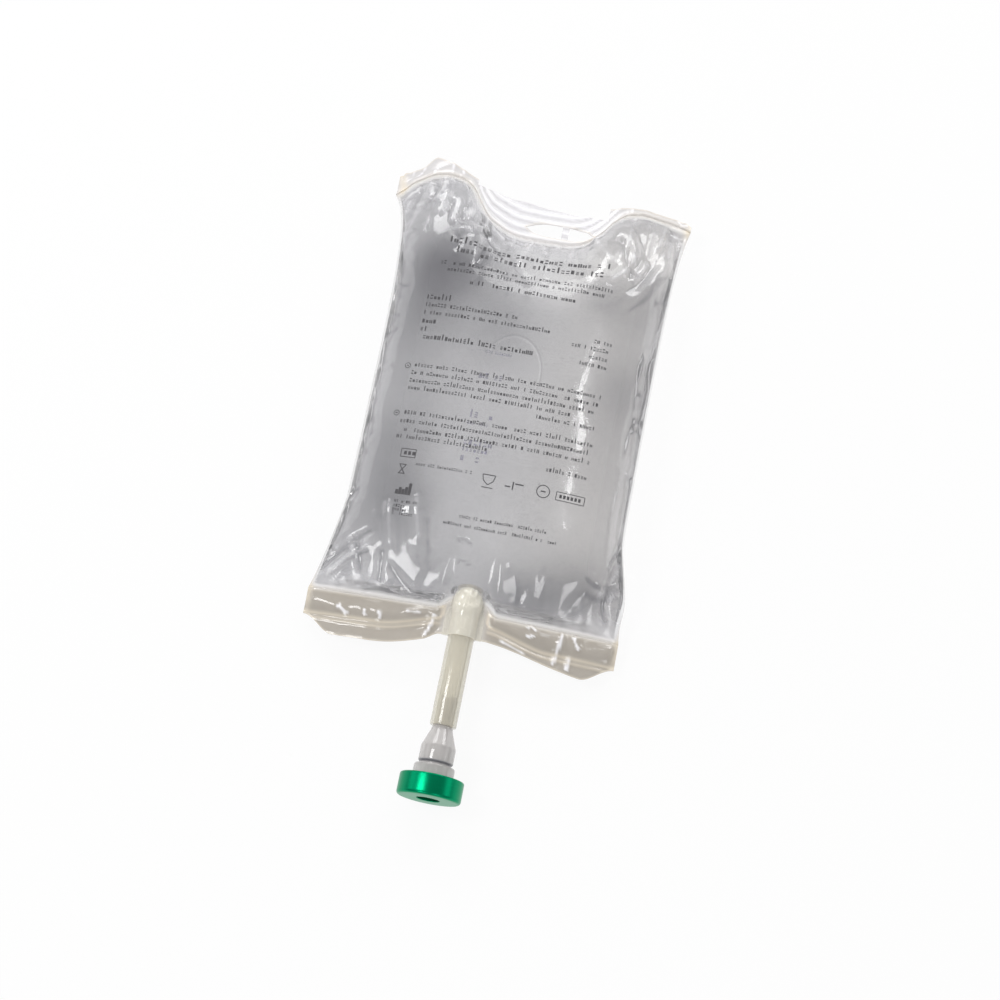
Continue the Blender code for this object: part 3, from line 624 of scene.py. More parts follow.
@dataclass(frozen=True)
class BagForm:
    """Sizes of the filled bag and the rules that its surface follows.

    Heights and places along the bag are counted from the bottom weld on the bag's centre line,
    until a grid of points is finished and moved into the frame of the solids.
    """

    shift: Triple = (0.00170, -0.06266, 0.0)
    film_wall: float = 0.0004
    chamber_length: float = 0.173
    half_width: float = 0.0593
    half_height: float = 0.0164
    middle_height: float = 0.0158
    section_power: float = 2.45
    end_taper: float = 0.038
    end_roundness: float = 0.75
    flare_bottom: Point = (0.0090, 0.0057)
    flare_bottom_length: float = 0.040
    flare_bottom_power: float = 1.3
    flare_top: Point = (0.0091, 0.0044)
    flare_top_length: float = 0.022
    back_sag: float = 1.22
    floor_blend: float = 0.003
    corner_set_in: float = 2.0
    end_set_in: float = 2.8
    steepest_wall: float = 1.5
    ear_rise: float = 0.0215
    weld_line: Line = (
        (-70.0, 181.5), (-65.6, 184.9), (-61.5, 189.2), (-53.3, 193.8), (-46.4, 195.0), (-39.0, 193.8),
        (-34.8, 191.4), (-31.6, 187.6), (-28.6, 182.6), (-24.6, 178.3), (-16.8, 174.8), (-9.9, 173.2),
        (0.0, 172.8), (12.0, 173.2), (18.0, 174.8), (22.9, 178.2), (25.7, 181.2), (28.2, 184.6),
        (30.8, 187.8), (34.5, 190.2), (43.2, 191.8), (53.9, 190.6), (61.5, 189.4), (70.0, 187.5),
    )
    weld_ease: float = 0.0018
    ear_slope_start: float = 0.012
    ear_slope_length: float = 0.028
    ear_height: float = 0.0150
    ear_corner_droop: float = 0.0045
    edge_line: Line = (
        (-70.0, 191.2), (-66.6, 192.4), (-66.2, 193.8), (-63.8, 194.2), (-58.1, 196.9), (-55.2, 200.6),
        (-53.6, 202.6), (-51.6, 202.5), (-45.7, 200.9), (-39.8, 198.1), (-34.6, 195.8), (-31.0, 195.0),
        (25.0, 193.4), (27.7, 192.9), (31.7, 193.9), (43.2, 194.4), (53.9, 193.2), (61.5, 192.7),
        (63.4, 191.4), (70.0, 189.0),
    )
    strip_height: float = 0.0100
    strip_left: float = -0.033
    port_height: float = 0.0134
    side_swell: Triple = (0.0180, 0.0170, 0.0026)
    flap_swell: Triple = (-0.0280, 0.0190, 0.0043)
    corner_droop: float = 0.0075
    flap_droop: float = 0.0016
    droop_power: float = 1.5
    port_weld_rise: float = 0.0040
    port_weld_spread: float = 0.0060
    sleeve_radius: float = 0.00665
    flap_depth: float = 0.0183
    flap_depth_at_port: float = 0.0108
    flap_depth_at_corner: float = 0.0110
    flap_chamfer: float = 0.0140
    pocket_depth: float = 0.0103
    pocket_depth_at_port: float = 0.0045
    pocket_ramp: float = 0.030
    pocket_puff: float = 0.0017
    pocket_start: float = 0.0095
    pocket_round: float = 0.0030
    pocket_bow: float = 0.0024
    pocket_crown: float = 0.8
    lower_bead: float = 0.0021
    weld_bead: float = 0.0004
    bead_width: float = 0.0008

    @property
    def ear_top(self) -> float:
        """Highest place of the top weld, in the ears."""
        return self.chamber_length + self.ear_rise

    def plan(self, x: Any, y: Any) -> tuple[Any, Any]:
        """Places in the frame of the solids, counted from the middle of the bottom weld instead."""
        return x - self.shift[0], y - self.shift[1]

    def from_side(self, x: Array, y: Array) -> Array:
        """Distance of each place from the nearer side fold."""
        return np.where(x > 0.0, self.width_at(y, 1), self.width_at(y, 0)) - np.abs(x)

    def bottom_weld(self, x: Array) -> Array:
        """Place of the bottom weld, which climbs a little beside the port sleeve."""
        beside = (np.abs(x) - self.sleeve_radius) / self.port_weld_spread
        return self.port_weld_rise * smoothstep(1.0 - beside)

    def ear_share(self, x: Array) -> Array:
        """0 along the hanging strip and 1 in the ears."""
        return smoothstep((np.abs(x) - self.ear_slope_start) / self.ear_slope_length)

    def top_weld(self, x: Array) -> Array:
        """Place of the top weld, low along the hanging strip and high in the ears."""
        places, heights = (np.array(row) * MM for row in zip(*self.weld_line))
        steps = np.linspace(-self.weld_ease, self.weld_ease, 7)
        return sum(np.interp(x + step, places, heights) for step in steps) / len(steps)

    def weld_lean(self, weld: Any, x: Array) -> Array:
        """How much longer than straight across the bag a weld's line is at x."""
        step = self.film_wall
        return np.hypot(1.0, (weld(x + step) - weld(x - step)) / (2.0 * step))

    def top_edge(self, x: Array) -> Array:
        """Place of the film's top edge before the strip is cut down."""
        places, heights = (np.array(row) * MM for row in zip(*self.edge_line))
        return np.interp(x, places, heights)

    def width_at(self, y: Any, side: int) -> Any:
        """Distance from the centre line to the left (0) or right (1) side fold."""
        below = unit(1.0 - y / self.flare_bottom_length) ** self.flare_bottom_power
        above = np.exp(-np.clip(self.ear_top - y, 0.0, None) / self.flare_top_length)
        place, spread, most = self.side_swell
        swell = side * most * bell(y - place, spread) * smoothstep(y / place)
        return self.half_width + self.flare_bottom[side] * below + self.flare_top[side] * above + swell

    def across_at(self, angle: Array, y: float, inset: float) -> Array:
        """X of the section's points on the row whose side folds are at height y."""
        turn = np.cos(angle)
        reach = np.where(turn > 0.0, self.width_at(y, 1) - inset, inset - self.width_at(y, 0))
        return reach * np.abs(turn) ** (2.0 / self.section_power)

    def bottom_height(self, x: Array) -> Array:
        """Height of the bottom weld: the port's axis in the middle, drooping to both corners."""
        spread = np.abs(x) / (self.half_width + self.flare_bottom[0])
        return self.port_height - self.corner_droop * spread**self.droop_power

    def top_height(self, x: Array) -> Array:
        """Height of the top weld: low in the strip, high in the ears, drooping at the corners."""
        beyond = np.abs(x) - self.ear_slope_start - self.ear_slope_length
        spread = unit(beyond / self.ear_slope_length)
        rise = (self.ear_height - self.strip_height) * self.ear_share(x)
        return self.strip_height + rise - self.ear_corner_droop * spread**self.droop_power

    def middle_at(self, x: Array, y: Array) -> Array:
        """Height of the film's side folds, which run from one end weld's height to the other's."""
        near_low = smoothstep(1.0 - (y - self.bottom_weld(x)) / self.end_taper)
        near_high = smoothstep(1.0 - (self.top_weld(x) - y) / self.end_taper)
        middle = self.middle_height + (self.bottom_height(x) - self.middle_height) * near_low
        return middle + (self.top_height(x) - self.middle_height) * near_high

    def end_profile(self, distance: Any) -> tuple[Any, Any]:
        """Share of the full thickness at a distance from an end weld, and its slope."""
        reach = unit(distance / self.end_taper)
        inside = np.clip(1.0 - (1.0 - reach) ** 2, 1e-9, 1.0)
        power = self.end_roundness
        return inside**power, power * inside ** (power - 1.0) * 2.0 * (1.0 - reach) / self.end_taper

    def settle(self, z: Array, floor: float) -> Array:
        """Lays what would sink below the floor flat on it, with a soft start beside the flat."""
        lift = np.maximum(z - floor, 0.0)
        return floor + lift * smoothstep(lift / self.floor_blend)

    def chamber_row(self, share: float, angles: Array, inset: float) -> Array:
        """One closed ring of the filled chamber.

        Args:
            share: Place along the chamber, from 0 at the bottom weld to 1 at the top weld.
            angles: Angles round the section.
            inset: Distance inside the film's outer face.

        Returns:
            One point for each angle.
        """
        base_y = share * self.ear_top
        fullness = self.end_profile(min(base_y, self.ear_top - base_y))[0]
        x = self.across_at(angles, base_y, inset * (1.0 + self.corner_set_in * (1.0 - fullness)))
        lean_low, lean_high = self.weld_lean(self.bottom_weld, x), self.weld_lean(self.top_weld, x)
        low = self.bottom_weld(x) + self.end_set_in * inset * lean_low
        high = self.top_weld(x) - self.end_set_in * inset * lean_high
        y = low + share * (high - low)
        from_bottom, slope_low = self.end_profile(y - self.bottom_weld(x))
        from_top, slope_high = self.end_profile(self.top_weld(x) - y)
        swell = self.half_height * from_bottom * from_top
        slope = slope_low * from_top * lean_low + slope_high * from_bottom * lean_high
        wall = inset * np.hypot(1.0, np.minimum(self.half_height * slope, self.steepest_wall))
        round_over = np.abs(np.sin(angles)) ** (2.0 / self.section_power)
        thick = (self.film_wall + swell - wall) * round_over
        middle = self.middle_at(x, y)
        back = self.settle(middle - self.back_sag * thick, inset)
        return np.stack((x, y, np.where(np.sin(angles) > 0.0, middle + thick, back)), axis=1)

    def sheet_row(self, angles: Array, x: Array, y: Any, z: Any, thick: Any) -> Array:
        """One closed ring of fused film, at the heights given for each column."""
        side = np.abs(np.sin(angles)) < 1e-6
        sign = np.where(side, 0.0, np.where(np.sin(angles) > 0.0, 1.0, -1.0))
        return np.stack((x, y, z + sign * thick), axis=1)

    def flap_edge(self, x: Array) -> Array:
        """Depth of the flap's free edge below the bottom weld."""
        side = self.half_width + np.where(x > 0.0, self.flare_bottom[1], self.flare_bottom[0])
        from_port = smoothstep((np.abs(x) - self.sleeve_radius) / (side - self.flap_chamfer))
        from_corner = smoothstep((side - np.abs(x)) / self.flap_chamfer)
        depth = self.flap_depth_at_port + (self.flap_depth - self.flap_depth_at_port) * from_port
        place, spread, most = self.flap_swell
        clear_of_port = smoothstep((np.abs(x) - self.pocket_start) / self.port_weld_spread)
        depth = depth + most * bell(x - place, spread) * clear_of_port
        return self.flap_depth_at_corner + (depth - self.flap_depth_at_corner) * from_corner

    def pocket_edge(self, x: Array) -> Array:
        """Depth of the second weld, which closes the pockets and climbs towards the port."""
        away = smoothstep((np.abs(x) - self.sleeve_radius) / self.pocket_ramp)
        return self.pocket_depth_at_port + (self.pocket_depth - self.pocket_depth_at_port) * away

    def bead(self, distance: Any) -> Any:
        """Extra thickness of the film at a distance from a weld's middle."""
        return self.weld_bead * bell(distance, self.bead_width)

    def second_weld(self, x: Array) -> Array:
        """Place of the second weld, never past the flap's free edge."""
        return np.maximum(-self.pocket_edge(x), -self.flap_edge(x) + 2.0 * self.weld_bead)

    def in_pocket(self, x: Array, y: Array) -> Array:
        """How full the flap's pocket is: 0 at its welds and 1 along its middle."""
        second, weld = self.second_weld(x), self.bottom_weld(x)
        share = unit((y - second) / (weld - second))
        from_end = smoothstep((np.abs(x) - self.pocket_start) / self.pocket_round)
        side = smoothstep(self.from_side(x, 0.0) / self.pocket_round)
        return np.sin(math.pi * share) ** self.pocket_crown * from_end * side

    def pocket_end(self, x: Array, y: Array) -> Array:
        """1 on the short weld that closes each pocket beside the port."""
        second, weld = self.second_weld(x), self.bottom_weld(x)
        share = (y - second) / (weld - second)
        bow = self.pocket_start + self.pocket_bow * np.clip(2.0 * share - 1.0, -1.0, 1.0) ** 4
        inside = smoothstep(share / 0.1 + 0.5) * smoothstep((1.0 - share) / 0.1 + 0.5)
        return bell(np.abs(x) - bow, self.bead_width) * inside

    def flap_rows(self, angles: Array, outer: int, inner: int) -> list[Array]:
        """Rings of the bottom flap, from its free edge up to the bottom weld.

        Args:
            angles: Angles round the section.
            outer: Number of rows below the second weld.
            inner: Number of rows in the pockets.

        Returns:
            The rings in order.
        """
        x = self.across_at(angles, 0.0, 0.0)
        weld, edge, second = self.bottom_weld(x), -self.flap_edge(x), self.second_weld(x)
        room = smoothstep((np.abs(x) - self.sleeve_radius - self.weld_bead) / self.port_weld_spread)
        places = [edge + share * (second - edge) for share in np.linspace(0.0, 1.0, outer, False)]
        places += [second + share * (weld - second) for share in np.linspace(0.0, 0.97, inner)]
        rows = []
        for y in places:
            bead = self.bead(y - second) + self.bead(y - weld) + self.bead(y - second + self.lower_bead)
            puff = self.pocket_puff * self.in_pocket(x, y) + self.weld_bead * self.pocket_end(x, y)
            fall = (weld - y) / (weld - edge)
            z = self.bottom_height(x) - self.flap_droop * fall * np.abs(x) / self.half_width
            rows.append(self.sheet_row(angles, x, y, z, self.film_wall + room * (puff + bead)))
        return rows

    def top_rows(self, angles: Array, count: int) -> list[Array]:
        """Rings of the welded top end, from just past the top weld up to the uncut edge."""
        x = self.across_at(angles, self.ear_top, 0.0)
        weld, edge = self.top_weld(x), self.top_edge(x)
        rows = []
        for share in np.linspace(0.0, 1.0, count + 1)[1:]:
            y = weld + share * (edge - weld)
            thick = self.film_wall + self.bead(y - weld - self.bead_width)
            rows.append(self.sheet_row(angles, x, y, self.top_height(x), thick))
        return rows

    def ring_angles(self, columns: int) -> Array:
        """Angles round a whole ring, an equal length of film apart: over the front, then back."""
        fine = np.linspace(0.0, math.pi, 4000)
        power = 2.0 / self.section_power
        across = self.half_width * np.sign(np.cos(fine)) * np.abs(np.cos(fine)) ** power
        steps = np.hypot(np.diff(across), np.diff(self.half_height * np.sin(fine) ** power))
        length = np.concatenate(([0.0], np.cumsum(steps)))
        front = np.interp(np.linspace(0.0, length[-1], columns + 1), length, fine)
        return np.concatenate((front, 2.0 * math.pi - front[-2:0:-1]))

    def placed(self, rows: Sequence[Array]) -> Array:
        """Rings stacked into one grid in the frame of the solids."""
        return np.stack(rows) + np.array(self.shift)


@dataclass
class PlanField:
    """A number over the bag's plan, kept on a square grid and read with soft steps between."""

    left: float = -0.0720
    right: float = 0.0720
    low: float = -0.0860
    high: float = 0.1480
    cell: float = 0.00045
    reach: int = 2

    def __post_init__(self) -> None:
        """Lays out the grid."""
        self.xs = np.arange(self.left, self.right, self.cell)
        self.ys = np.arange(self.low, self.high, self.cell)
        self.x, self.y = np.meshgrid(self.xs, self.ys)
        self.values = np.zeros(self.x.shape)

    def at(self, x: Array, y: Array) -> Array:
        """The number at each place."""
        rows, columns = self.values.shape
        across = np.clip((x - self.left) / self.cell, 0.0, columns - 1.001)
        along = np.clip((y - self.low) / self.cell, 0.0, rows - 1.001)
        i, j = across.astype(int), along.astype(int)
        u, v = across - i, along - j
        low = self.values[j, i] * (1.0 - u) + self.values[j, i + 1] * u
        high = self.values[j + 1, i] * (1.0 - u) + self.values[j + 1, i + 1] * u
        return low * (1.0 - v) + high * v

    def bending(self) -> PlanField:
        """How sharply the field bends, as a field above 0 in hollows and below 0 on ridges, in 1/m."""
        bent = PlanField()
        total = -4.0 * self.values
        for axis in (0, 1):
            total = total + np.roll(self.values, self.reach, axis) + np.roll(self.values, -self.reach, axis)
        bent.values = total / (self.reach * self.cell) ** 2
        return bent


@dataclass(frozen=True)
class Fold:
    """A crease along a bent line: a valley, or a ridge where depth is negative.

    Places are millimetres in the plan; depth and half width are millimetres too.
    """

    start: Point
    middle: Point
    end: Point
    depth: float
    wide: float
    steps: int = 8
    steepness: float = 1.7

    def press_into(self, field: PlanField) -> None:
        """Adds how far the fold presses each place in to a field, in metres."""
        a, b, c = (np.array(p) * MM for p in (self.start, self.middle, self.end))
        shares = np.linspace(0.0, 1.0, self.steps + 1)
        pull = 2.0 * b - (a + c) / 2.0
        knots = [(1 - t) ** 2 * a + 2 * t * (1 - t) * pull + t * t * c for t in shares]
        margin = 3.0 * self.wide * MM
        low, high = np.min(knots, axis=0) - margin, np.max(knots, axis=0) + margin
        columns = slice(*np.searchsorted(field.xs, (low[0], high[0])))
        rows = slice(*np.searchsorted(field.ys, (low[1], high[1])))
        x, y = field.x[rows, columns], field.y[rows, columns]
        near, place = np.full(x.shape, 1.0), np.zeros(x.shape)
        for k, (p, q) in enumerate(zip(knots, knots[1:])):
            run = q - p
            share = ((x - p[0]) * run[0] + (y - p[1]) * run[1]) / max(run @ run, 1e-12)
            share = unit(share)
            off = np.hypot(x - p[0] - share * run[0], y - p[1] - share * run[1])
            closer = off < near
            near = np.where(closer, off, near)
            place = np.where(closer, (k + share) / self.steps, place)
        taper = smoothstep(place * 4.0 + 0.25) * smoothstep((1.0 - place) * 4.0 + 0.25)
        across = np.exp(-((near / (self.wide * MM)) ** self.steepness))
        field.values[rows, columns] += self.depth * MM * taper * across


def folds(*rows: Sequence[float]) -> tuple[Fold, ...]:
    """Folds from rows of the places of start, middle and end, the depth and the half width."""
    return tuple(Fold((a, b), (c, d), (e, f), depth, wide) for a, b, c, d, e, f, depth, wide in rows)


FRONT_FOLDS = folds(
    (-47.8, 126.0, -48.0, 120.9, -49.6, 116.1, 1.3, 1.7),
    (-44.5, 127.0, -45.0, 121.0, -46.8, 114.5, -0.9, 1.8),
    (-40.2, 116.5, -40.1, 112.6, -41.2, 109.0, 1.0, 1.5),
    (-31.0, 118.0, -33.7, 110.9, -34.7, 106.0, 1.5, 1.8),
    (-35.5, 107.3, -29.3, 108.6, -23.5, 108.5, 1.5, 1.6),
    (-23.5, 107.5, -25.8, 104.2, -33.5, 102.0, -1.3, 1.7),
    (-38.0, 119.0, -37.0, 111.0, -38.5, 103.0, -1.1, 2.0),
    (-22.5, 121.5, -16.0, 115.3, -9.5, 109.0, 1.0, 1.8),
    (-27.5, 118.5, -20.5, 110.3, -13.0, 103.0, -0.8, 2.0),
    (-27.0, 105.2, -19.1, 100.0, -12.3, 91.5, 1.4, 2.0),
    (-20.9, 101.3, -21.8, 92.6, -22.5, 83.5, 1.0, 2.0),
    (-35.0, 99.0, -32.6, 95.1, -34.8, 90.5, 0.8, 1.5),
    (-14.1, 101.8, -6.8, 90.4, 2.5, 79.8, 0.9, 3.2),
    (4.0, 108.0, 6.5, 100.0, 5.0, 90.0, 0.7, 3.0),
    (17.0, 110.5, 20.0, 102.0, 28.0, 94.0, 0.9, 3.0),
    (24.0, 116.0, 28.5, 106.0, 37.0, 97.0, -0.9, 2.6),
    (35.0, 113.8, 40.2, 103.1, 44.0, 91.5, 1.5, 2.1),
    (43.5, 116.2, 46.8, 107.0, 44.8, 96.3, 1.3, 1.9),
    (50.2, 118.9, 49.1, 110.6, 50.2, 102.1, 1.0, 1.8),
    (58.0, 127.3, 54.6, 112.4, 46.9, 87.2, 1.3, 2.1),
    (34.0, 89.2, 40.8, 96.1, 42.5, 106.1, -1.0, 1.7),
    (42.3, 84.9, 50.3, 96.3, 57.5, 109.0, 0.7, 1.8),
    (-63.5, -56.0, -52.5, -44.6, -42.0, -38.0, 1.3, 1.5),
    (-60.5, -58.0, -50.5, -48.6, -41.5, -43.0, -0.9, 1.8),
    (-50.6, -41.5, -47.2, -47.4, -45.1, -55.2, 1.1, 1.7),
    (-38.6, -24.0, -36.4, -35.0, -34.0, -45.0, -1.0, 2.8),
    (-27.4, -20.0, -25.2, -31.0, -22.6, -41.0, -1.0, 2.8),
    (-20.5, -29.0, -19.6, -37.0, -16.5, -45.0, 0.5, 2.4),
    (-37.4, -44.4, -37.0, -51.2, -36.6, -58.2, 1.0, 1.5),
    (-34.5, -49.4, -28.4, -55.2, -20.2, -60.0, 0.9, 1.6),
    (-7.5, -37.2, -4.0, -36.2, -0.5, -37.8, 0.5, 1.2),
    (14.1, -41.7, 20.6, -49.7, 22.6, -57.2, 0.6, 3.6),
    (27.2, -41.0, 27.4, -50.3, 24.4, -59.2, -0.4, 2.2),
    (33.0, -42.0, 36.0, -50.0, 35.5, -58.0, 0.35, 3.4),
    (57.5, -39.4, 47.5, -48.6, 44.7, -58.3, 1.0, 3.6),
    (60.6, -25.2, 58.6, -35.1, 56.9, -43.8, 1.0, 1.5),
    (62.5, -37.5, 57.2, -47.8, 60.4, -56.3, 1.4, 1.6),
    (63.5, -41.0, 55.0, -43.0, 47.0, -40.0, 0.9, 1.8),
)


FLAP_FOLDS = folds(
    (-52.7, -68.6, -50.0, -70.4, -47.4, -72.4, -0.9, 1.5),
    (-41.0, -68.4, -40.4, -70.0, -40.2, -71.6, -0.6, 1.0),
    (-34.6, -68.2, -34.0, -70.0, -33.5, -72.4, -0.8, 1.0),
    (-11.0, -65.1, -12.0, -70.9, -14.4, -76.3, -1.0, 1.5),
    (-17.0, -66.0, -20.0, -66.6, -24.0, -66.4, -0.5, 1.2),
    (27.6, -64.9, 29.8, -63.4, 31.8, -65.4, -0.8, 0.9),
    (28.4, -67.2, 30.0, -67.8, 31.6, -66.6, -0.6, 0.8),
    (47.9, -63.3, 48.9, -66.2, 51.3, -69.6, -0.9, 1.4),
    (43.1, -62.4, 42.2, -70.2, 40.8, -78.0, -1.1, 1.3),
    (47.2, -71.9, 47.2, -75.5, 46.8, -79.0, -0.9, 1.1),
    (17.0, -71.6, 23.0, -73.4, 30.0, -75.6, -0.5, 1.3),
)


@dataclass(frozen=True)
class GatherRule:
    """How folds run off a weld: millimetres, and a range for each random size."""

    spacing: float
    reach: Point
    depth: Point
    wide: Point
    lean: float


@dataclass
class Relief:
    """The folds, puckers and slow waves of the film, over the smooth form of the bag.

    A pair is a height and the size of the noise cells that it goes with, unless a comment says more.
    """

    form: BagForm
    seed: int = 11
    bubble: Shade = Shade(0.0010, 0.0395, 0.0128, 0.0168, 0.0007)
    bend_scale: float = 480.0
    least_bend: float = 0.25
    calm: float = 0.00012
    unrest: float = 0.00050
    slow_cells: Point = (0.021, 0.009)
    rim_reach: Point = (0.014, 0.026)
    broad: GatherRule = GatherRule(8.5, (15.0, 32.0), (0.5, 1.1), (2.4, 4.2), 3.5)
    fine: GatherRule = GatherRule(4.6, (5.0, 13.0), (0.2, 0.42), (0.9, 1.6), 2.0)
    gathers_span: Point = (-61.0, 60.0)
    port_gap: float = 9.5
    low_share: float = 0.38
    pucker_rule: GatherRule = GatherRule(9.5, (4.0, 9.0), (0.15, 0.45), (0.9, 1.7), 7.0)
    pucker_span: Point = (-52.0, 122.0)
    crumple_ridge: Point = (0.0007, 0.0085)
    crumple_fine: Point = (0.0003, 0.0045)
    crumple_reach: float = 0.022
    strip_bands: Point = (0.00050, 0.0040)
    strip_wander: Point = (0.0010, 0.014)
    flap_waves: Point = (0.00060, 0.013)
    flap_ripples: Point = (0.00020, 0.005)
    flap_curl: float = 0.0008
    back_waves: Point = (0.0004, 0.012)
    chamber_fade: float = 0.005

    def __post_init__(self) -> None:
        """Works out the relief of the front wall and of the fused sheets."""
        self.front = PlanField()
        gathers = (*self.gathers(self.broad, 1), *self.gathers(self.fine, 2))
        for fold in (*FRONT_FOLDS, *gathers, *self.side_puckers()):
            fold.press_into(self.front)
        x, y = self.front.x, self.front.y
        wide, small = self.slow_cells
        slow = soft_noise(x, y, wide, self.seed + 1) + 0.3 * soft_noise(x, y, small, self.seed + 2)
        self.front.values += (self.calm + self.unrest * self.near_rim(x, y)) * slow
        self.front.values += self.upper_crumple(x, y)
        self.sheet = PlanField()
        self.sheet.values = self.sheet_waves(x, y)
        bumps = PlanField()
        for fold in FLAP_FOLDS:
            fold.press_into(bumps)
        self.sheet.values -= bumps.values
        self.front_bend, self.sheet_bend = self.front.bending(), self.sheet.bending()

    def gathers(self, rule: GatherRule, extra: int) -> list[Fold]:
        """Folds that run off both end welds, at random but seeded."""
        rng = np.random.default_rng(self.seed + 20 + extra)
        form, folds = self.form, []
        shift_x, shift_y = form.shift[0] / MM, form.shift[1] / MM
        ends = ((form.bottom_weld, 1.0, self.port_gap, self.low_share), (form.top_weld, -1.0, 0.0, 1.0))
        for weld, way, gap, share in ends:
            for x in np.arange(*self.gathers_span, rule.spacing):
                x = x + rng.uniform(-0.4, 0.4) * rule.spacing
                if abs(x) < gap:
                    continue
                reach, lean = rng.uniform(*rule.reach), rng.normal(0.0, rule.lean)
                base = shift_y + float(weld(np.array(x * MM))) / MM - 0.5 * way
                depth = share * rng.choice((-1.0, 1.0)) * rng.uniform(*rule.depth)
                start, end = (x + shift_x, base), (x + shift_x + lean, base + way * reach)
                middle = (x + shift_x + lean * 0.2, base + way * reach * 0.5)
                folds.append(Fold(start, middle, end, depth, rng.uniform(*rule.wide)))
        return folds

    def side_puckers(self) -> list[Fold]:
        """Short folds that run in from both side folds."""
        rng = np.random.default_rng(self.seed + 30)
        form, folds, rule = self.form, [], self.pucker_rule
        shift_x, shift_y = form.shift[0] / MM, form.shift[1] / MM
        for side in (-1.0, 1.0):
            for y in np.arange(*self.pucker_span, rule.spacing):
                y = y + rng.uniform(-4.0, 4.0)
                place = float(form.width_at((y - shift_y) * MM, int(side > 0))) / MM
                start = (shift_x + side * (place + 1.0), y)
                end = (shift_x + side * (place - rng.uniform(*rule.reach)), y + rng.normal(0.0, rule.lean))
                middle = ((start[0] + end[0]) / 2.0, (start[1] + end[1]) / 2.0 + rng.normal(0.0, 0.8))
                depth = rng.choice((-0.6, 1.0)) * rng.uniform(*rule.depth)
                folds.append(Fold(start, middle, end, depth, rng.uniform(*rule.wide)))
        return folds

    def near_rim(self, x: Array, y: Array) -> Array:
        """1 at the bag's rim, fading out towards the smooth middle of the front."""
        form = self.form
        x, y = form.plan(x, y)
        end = np.minimum(y - form.bottom_weld(x), form.top_weld(x) - y)
        from_side, from_end = self.rim_reach
        return unit(bell(form.from_side(x, y), from_side) + bell(end, from_end))

    def bubble_hollow(self, x: Array, y: Array) -> Array:
        """Depth of the air bubble under the front wall."""
        off = np.hypot((x - self.bubble.x) / self.bubble.wide, (y - self.bubble.y) / self.bubble.tall)
        return self.bubble.change * unit(1.0 - off**2) ** 0.8

    def crumple(self, x: Array, y: Array) -> Array:
        """Height of crumpled film, as sharp ridges."""
        (tall, wide), (low, small) = self.crumple_ridge, self.crumple_fine
        ridge = 1.0 - np.abs(soft_noise(x + 0.35 * y, y * 0.55, wide, self.seed + 3)) * 2.0
        fine = 1.0 - np.abs(soft_noise(x, y * 0.7 - 0.4 * x, small, self.seed + 4)) * 2.0
        return tall * ridge + low * fine

    def upper_crumple(self, x: Array, y: Array) -> Array:
        """Crumples of the front wall under both ears, which fade out down the bag."""
        plan_x, plan_y = self.form.plan(x, y)
        below = np.clip(self.form.top_weld(plan_x) - plan_y, 0.0, None)
        return self.crumple(x, y) * self.form.ear_share(plan_x) * bell(below, self.crumple_reach)

    def sheet_waves(self, x: Array, y: Array) -> Array:
        """How far the fused film rises: bands in the strip, crumples in the ears, waves in the flap."""
        form = self.form
        plan_x, plan_y = form.plan(x, y)
        ear = form.ear_share(plan_x)
        above = plan_y - form.top_weld(plan_x)
        at_top = smoothstep((above + 0.004) / 0.006)
        (tall, pitch), (wander, cell) = self.strip_bands, self.strip_wander
        bend = above + wander * soft_noise(x, y, cell, self.seed + 5)
        bands = tall * np.sin(2.0 * math.pi * bend / pitch) * smoothstep(above / 0.002)
        below = form.bottom_weld(plan_x) - plan_y
        waves = self.flap_waves[0] * soft_noise(x, y * 1.6, self.flap_waves[1], self.seed + 6)
        waves += self.flap_ripples[0] * soft_noise(x, y, self.flap_ripples[1], self.seed + 7)
        waves += self.flap_curl * smoothstep((below - form.pocket_depth) / 0.008)
        clear_of_port = smoothstep((np.abs(plan_x) - form.sleeve_radius - 0.001) / 0.004)
        lift = at_top * (bands * (1.0 - ear) + ear * self.crumple(x, y))
        return lift + smoothstep(below / 0.004) * waves * clear_of_port

    def inside(self, x: Array, y: Array) -> Array:
        """1 in the filled chamber, fading to 0 at both end welds."""
        x, y = self.form.plan(x, y)
        low = smoothstep((y - self.form.bottom_weld(x)) / self.chamber_fade)
        return low * smoothstep((self.form.top_weld(x) - y) / self.chamber_fade)

    def applied(self, grid: Array, angles: Array, with_bubble: bool) -> Array:
        """Presses the relief into a grid of rings.

        Args:
            grid: Rings of points.
            angles: Angles round each ring.
            with_bubble: Whether the air bubble's hollow is pressed in too.

        Returns:
            The grid with its relief.
        """
        x, y = grid[..., 0], grid[..., 1]
        along = np.gradient(grid, axis=0)
        around = np.roll(grid, -1, axis=1) - np.roll(grid, 1, axis=1)
        normal = np.cross(along, around)
        normal /= np.maximum(np.linalg.norm(normal, axis=2, keepdims=True), 1e-12)
        inside = self.inside(x, y)
        front = smoothstep(np.sin(angles) * 3.0)[None, :] * inside
        press = self.front.at(x, y)
        if with_bubble:
            press = press + self.bubble_hollow(x, y)
        back = smoothstep(-np.sin(angles) * 3.0)[None, :] * smoothstep((grid[..., 2] - 0.0015) / 0.004)
        back_press = self.back_waves[0] * soft_noise(x, y, self.back_waves[1], self.seed + 8) * inside
        out = grid - normal * (press * front + back_press * back)[..., None]
        out[..., 2] += self.sheet.at(x, y) * (1.0 - inside)
        out[..., 2] = np.maximum(out[..., 2], grid[..., 2].min())
        return out

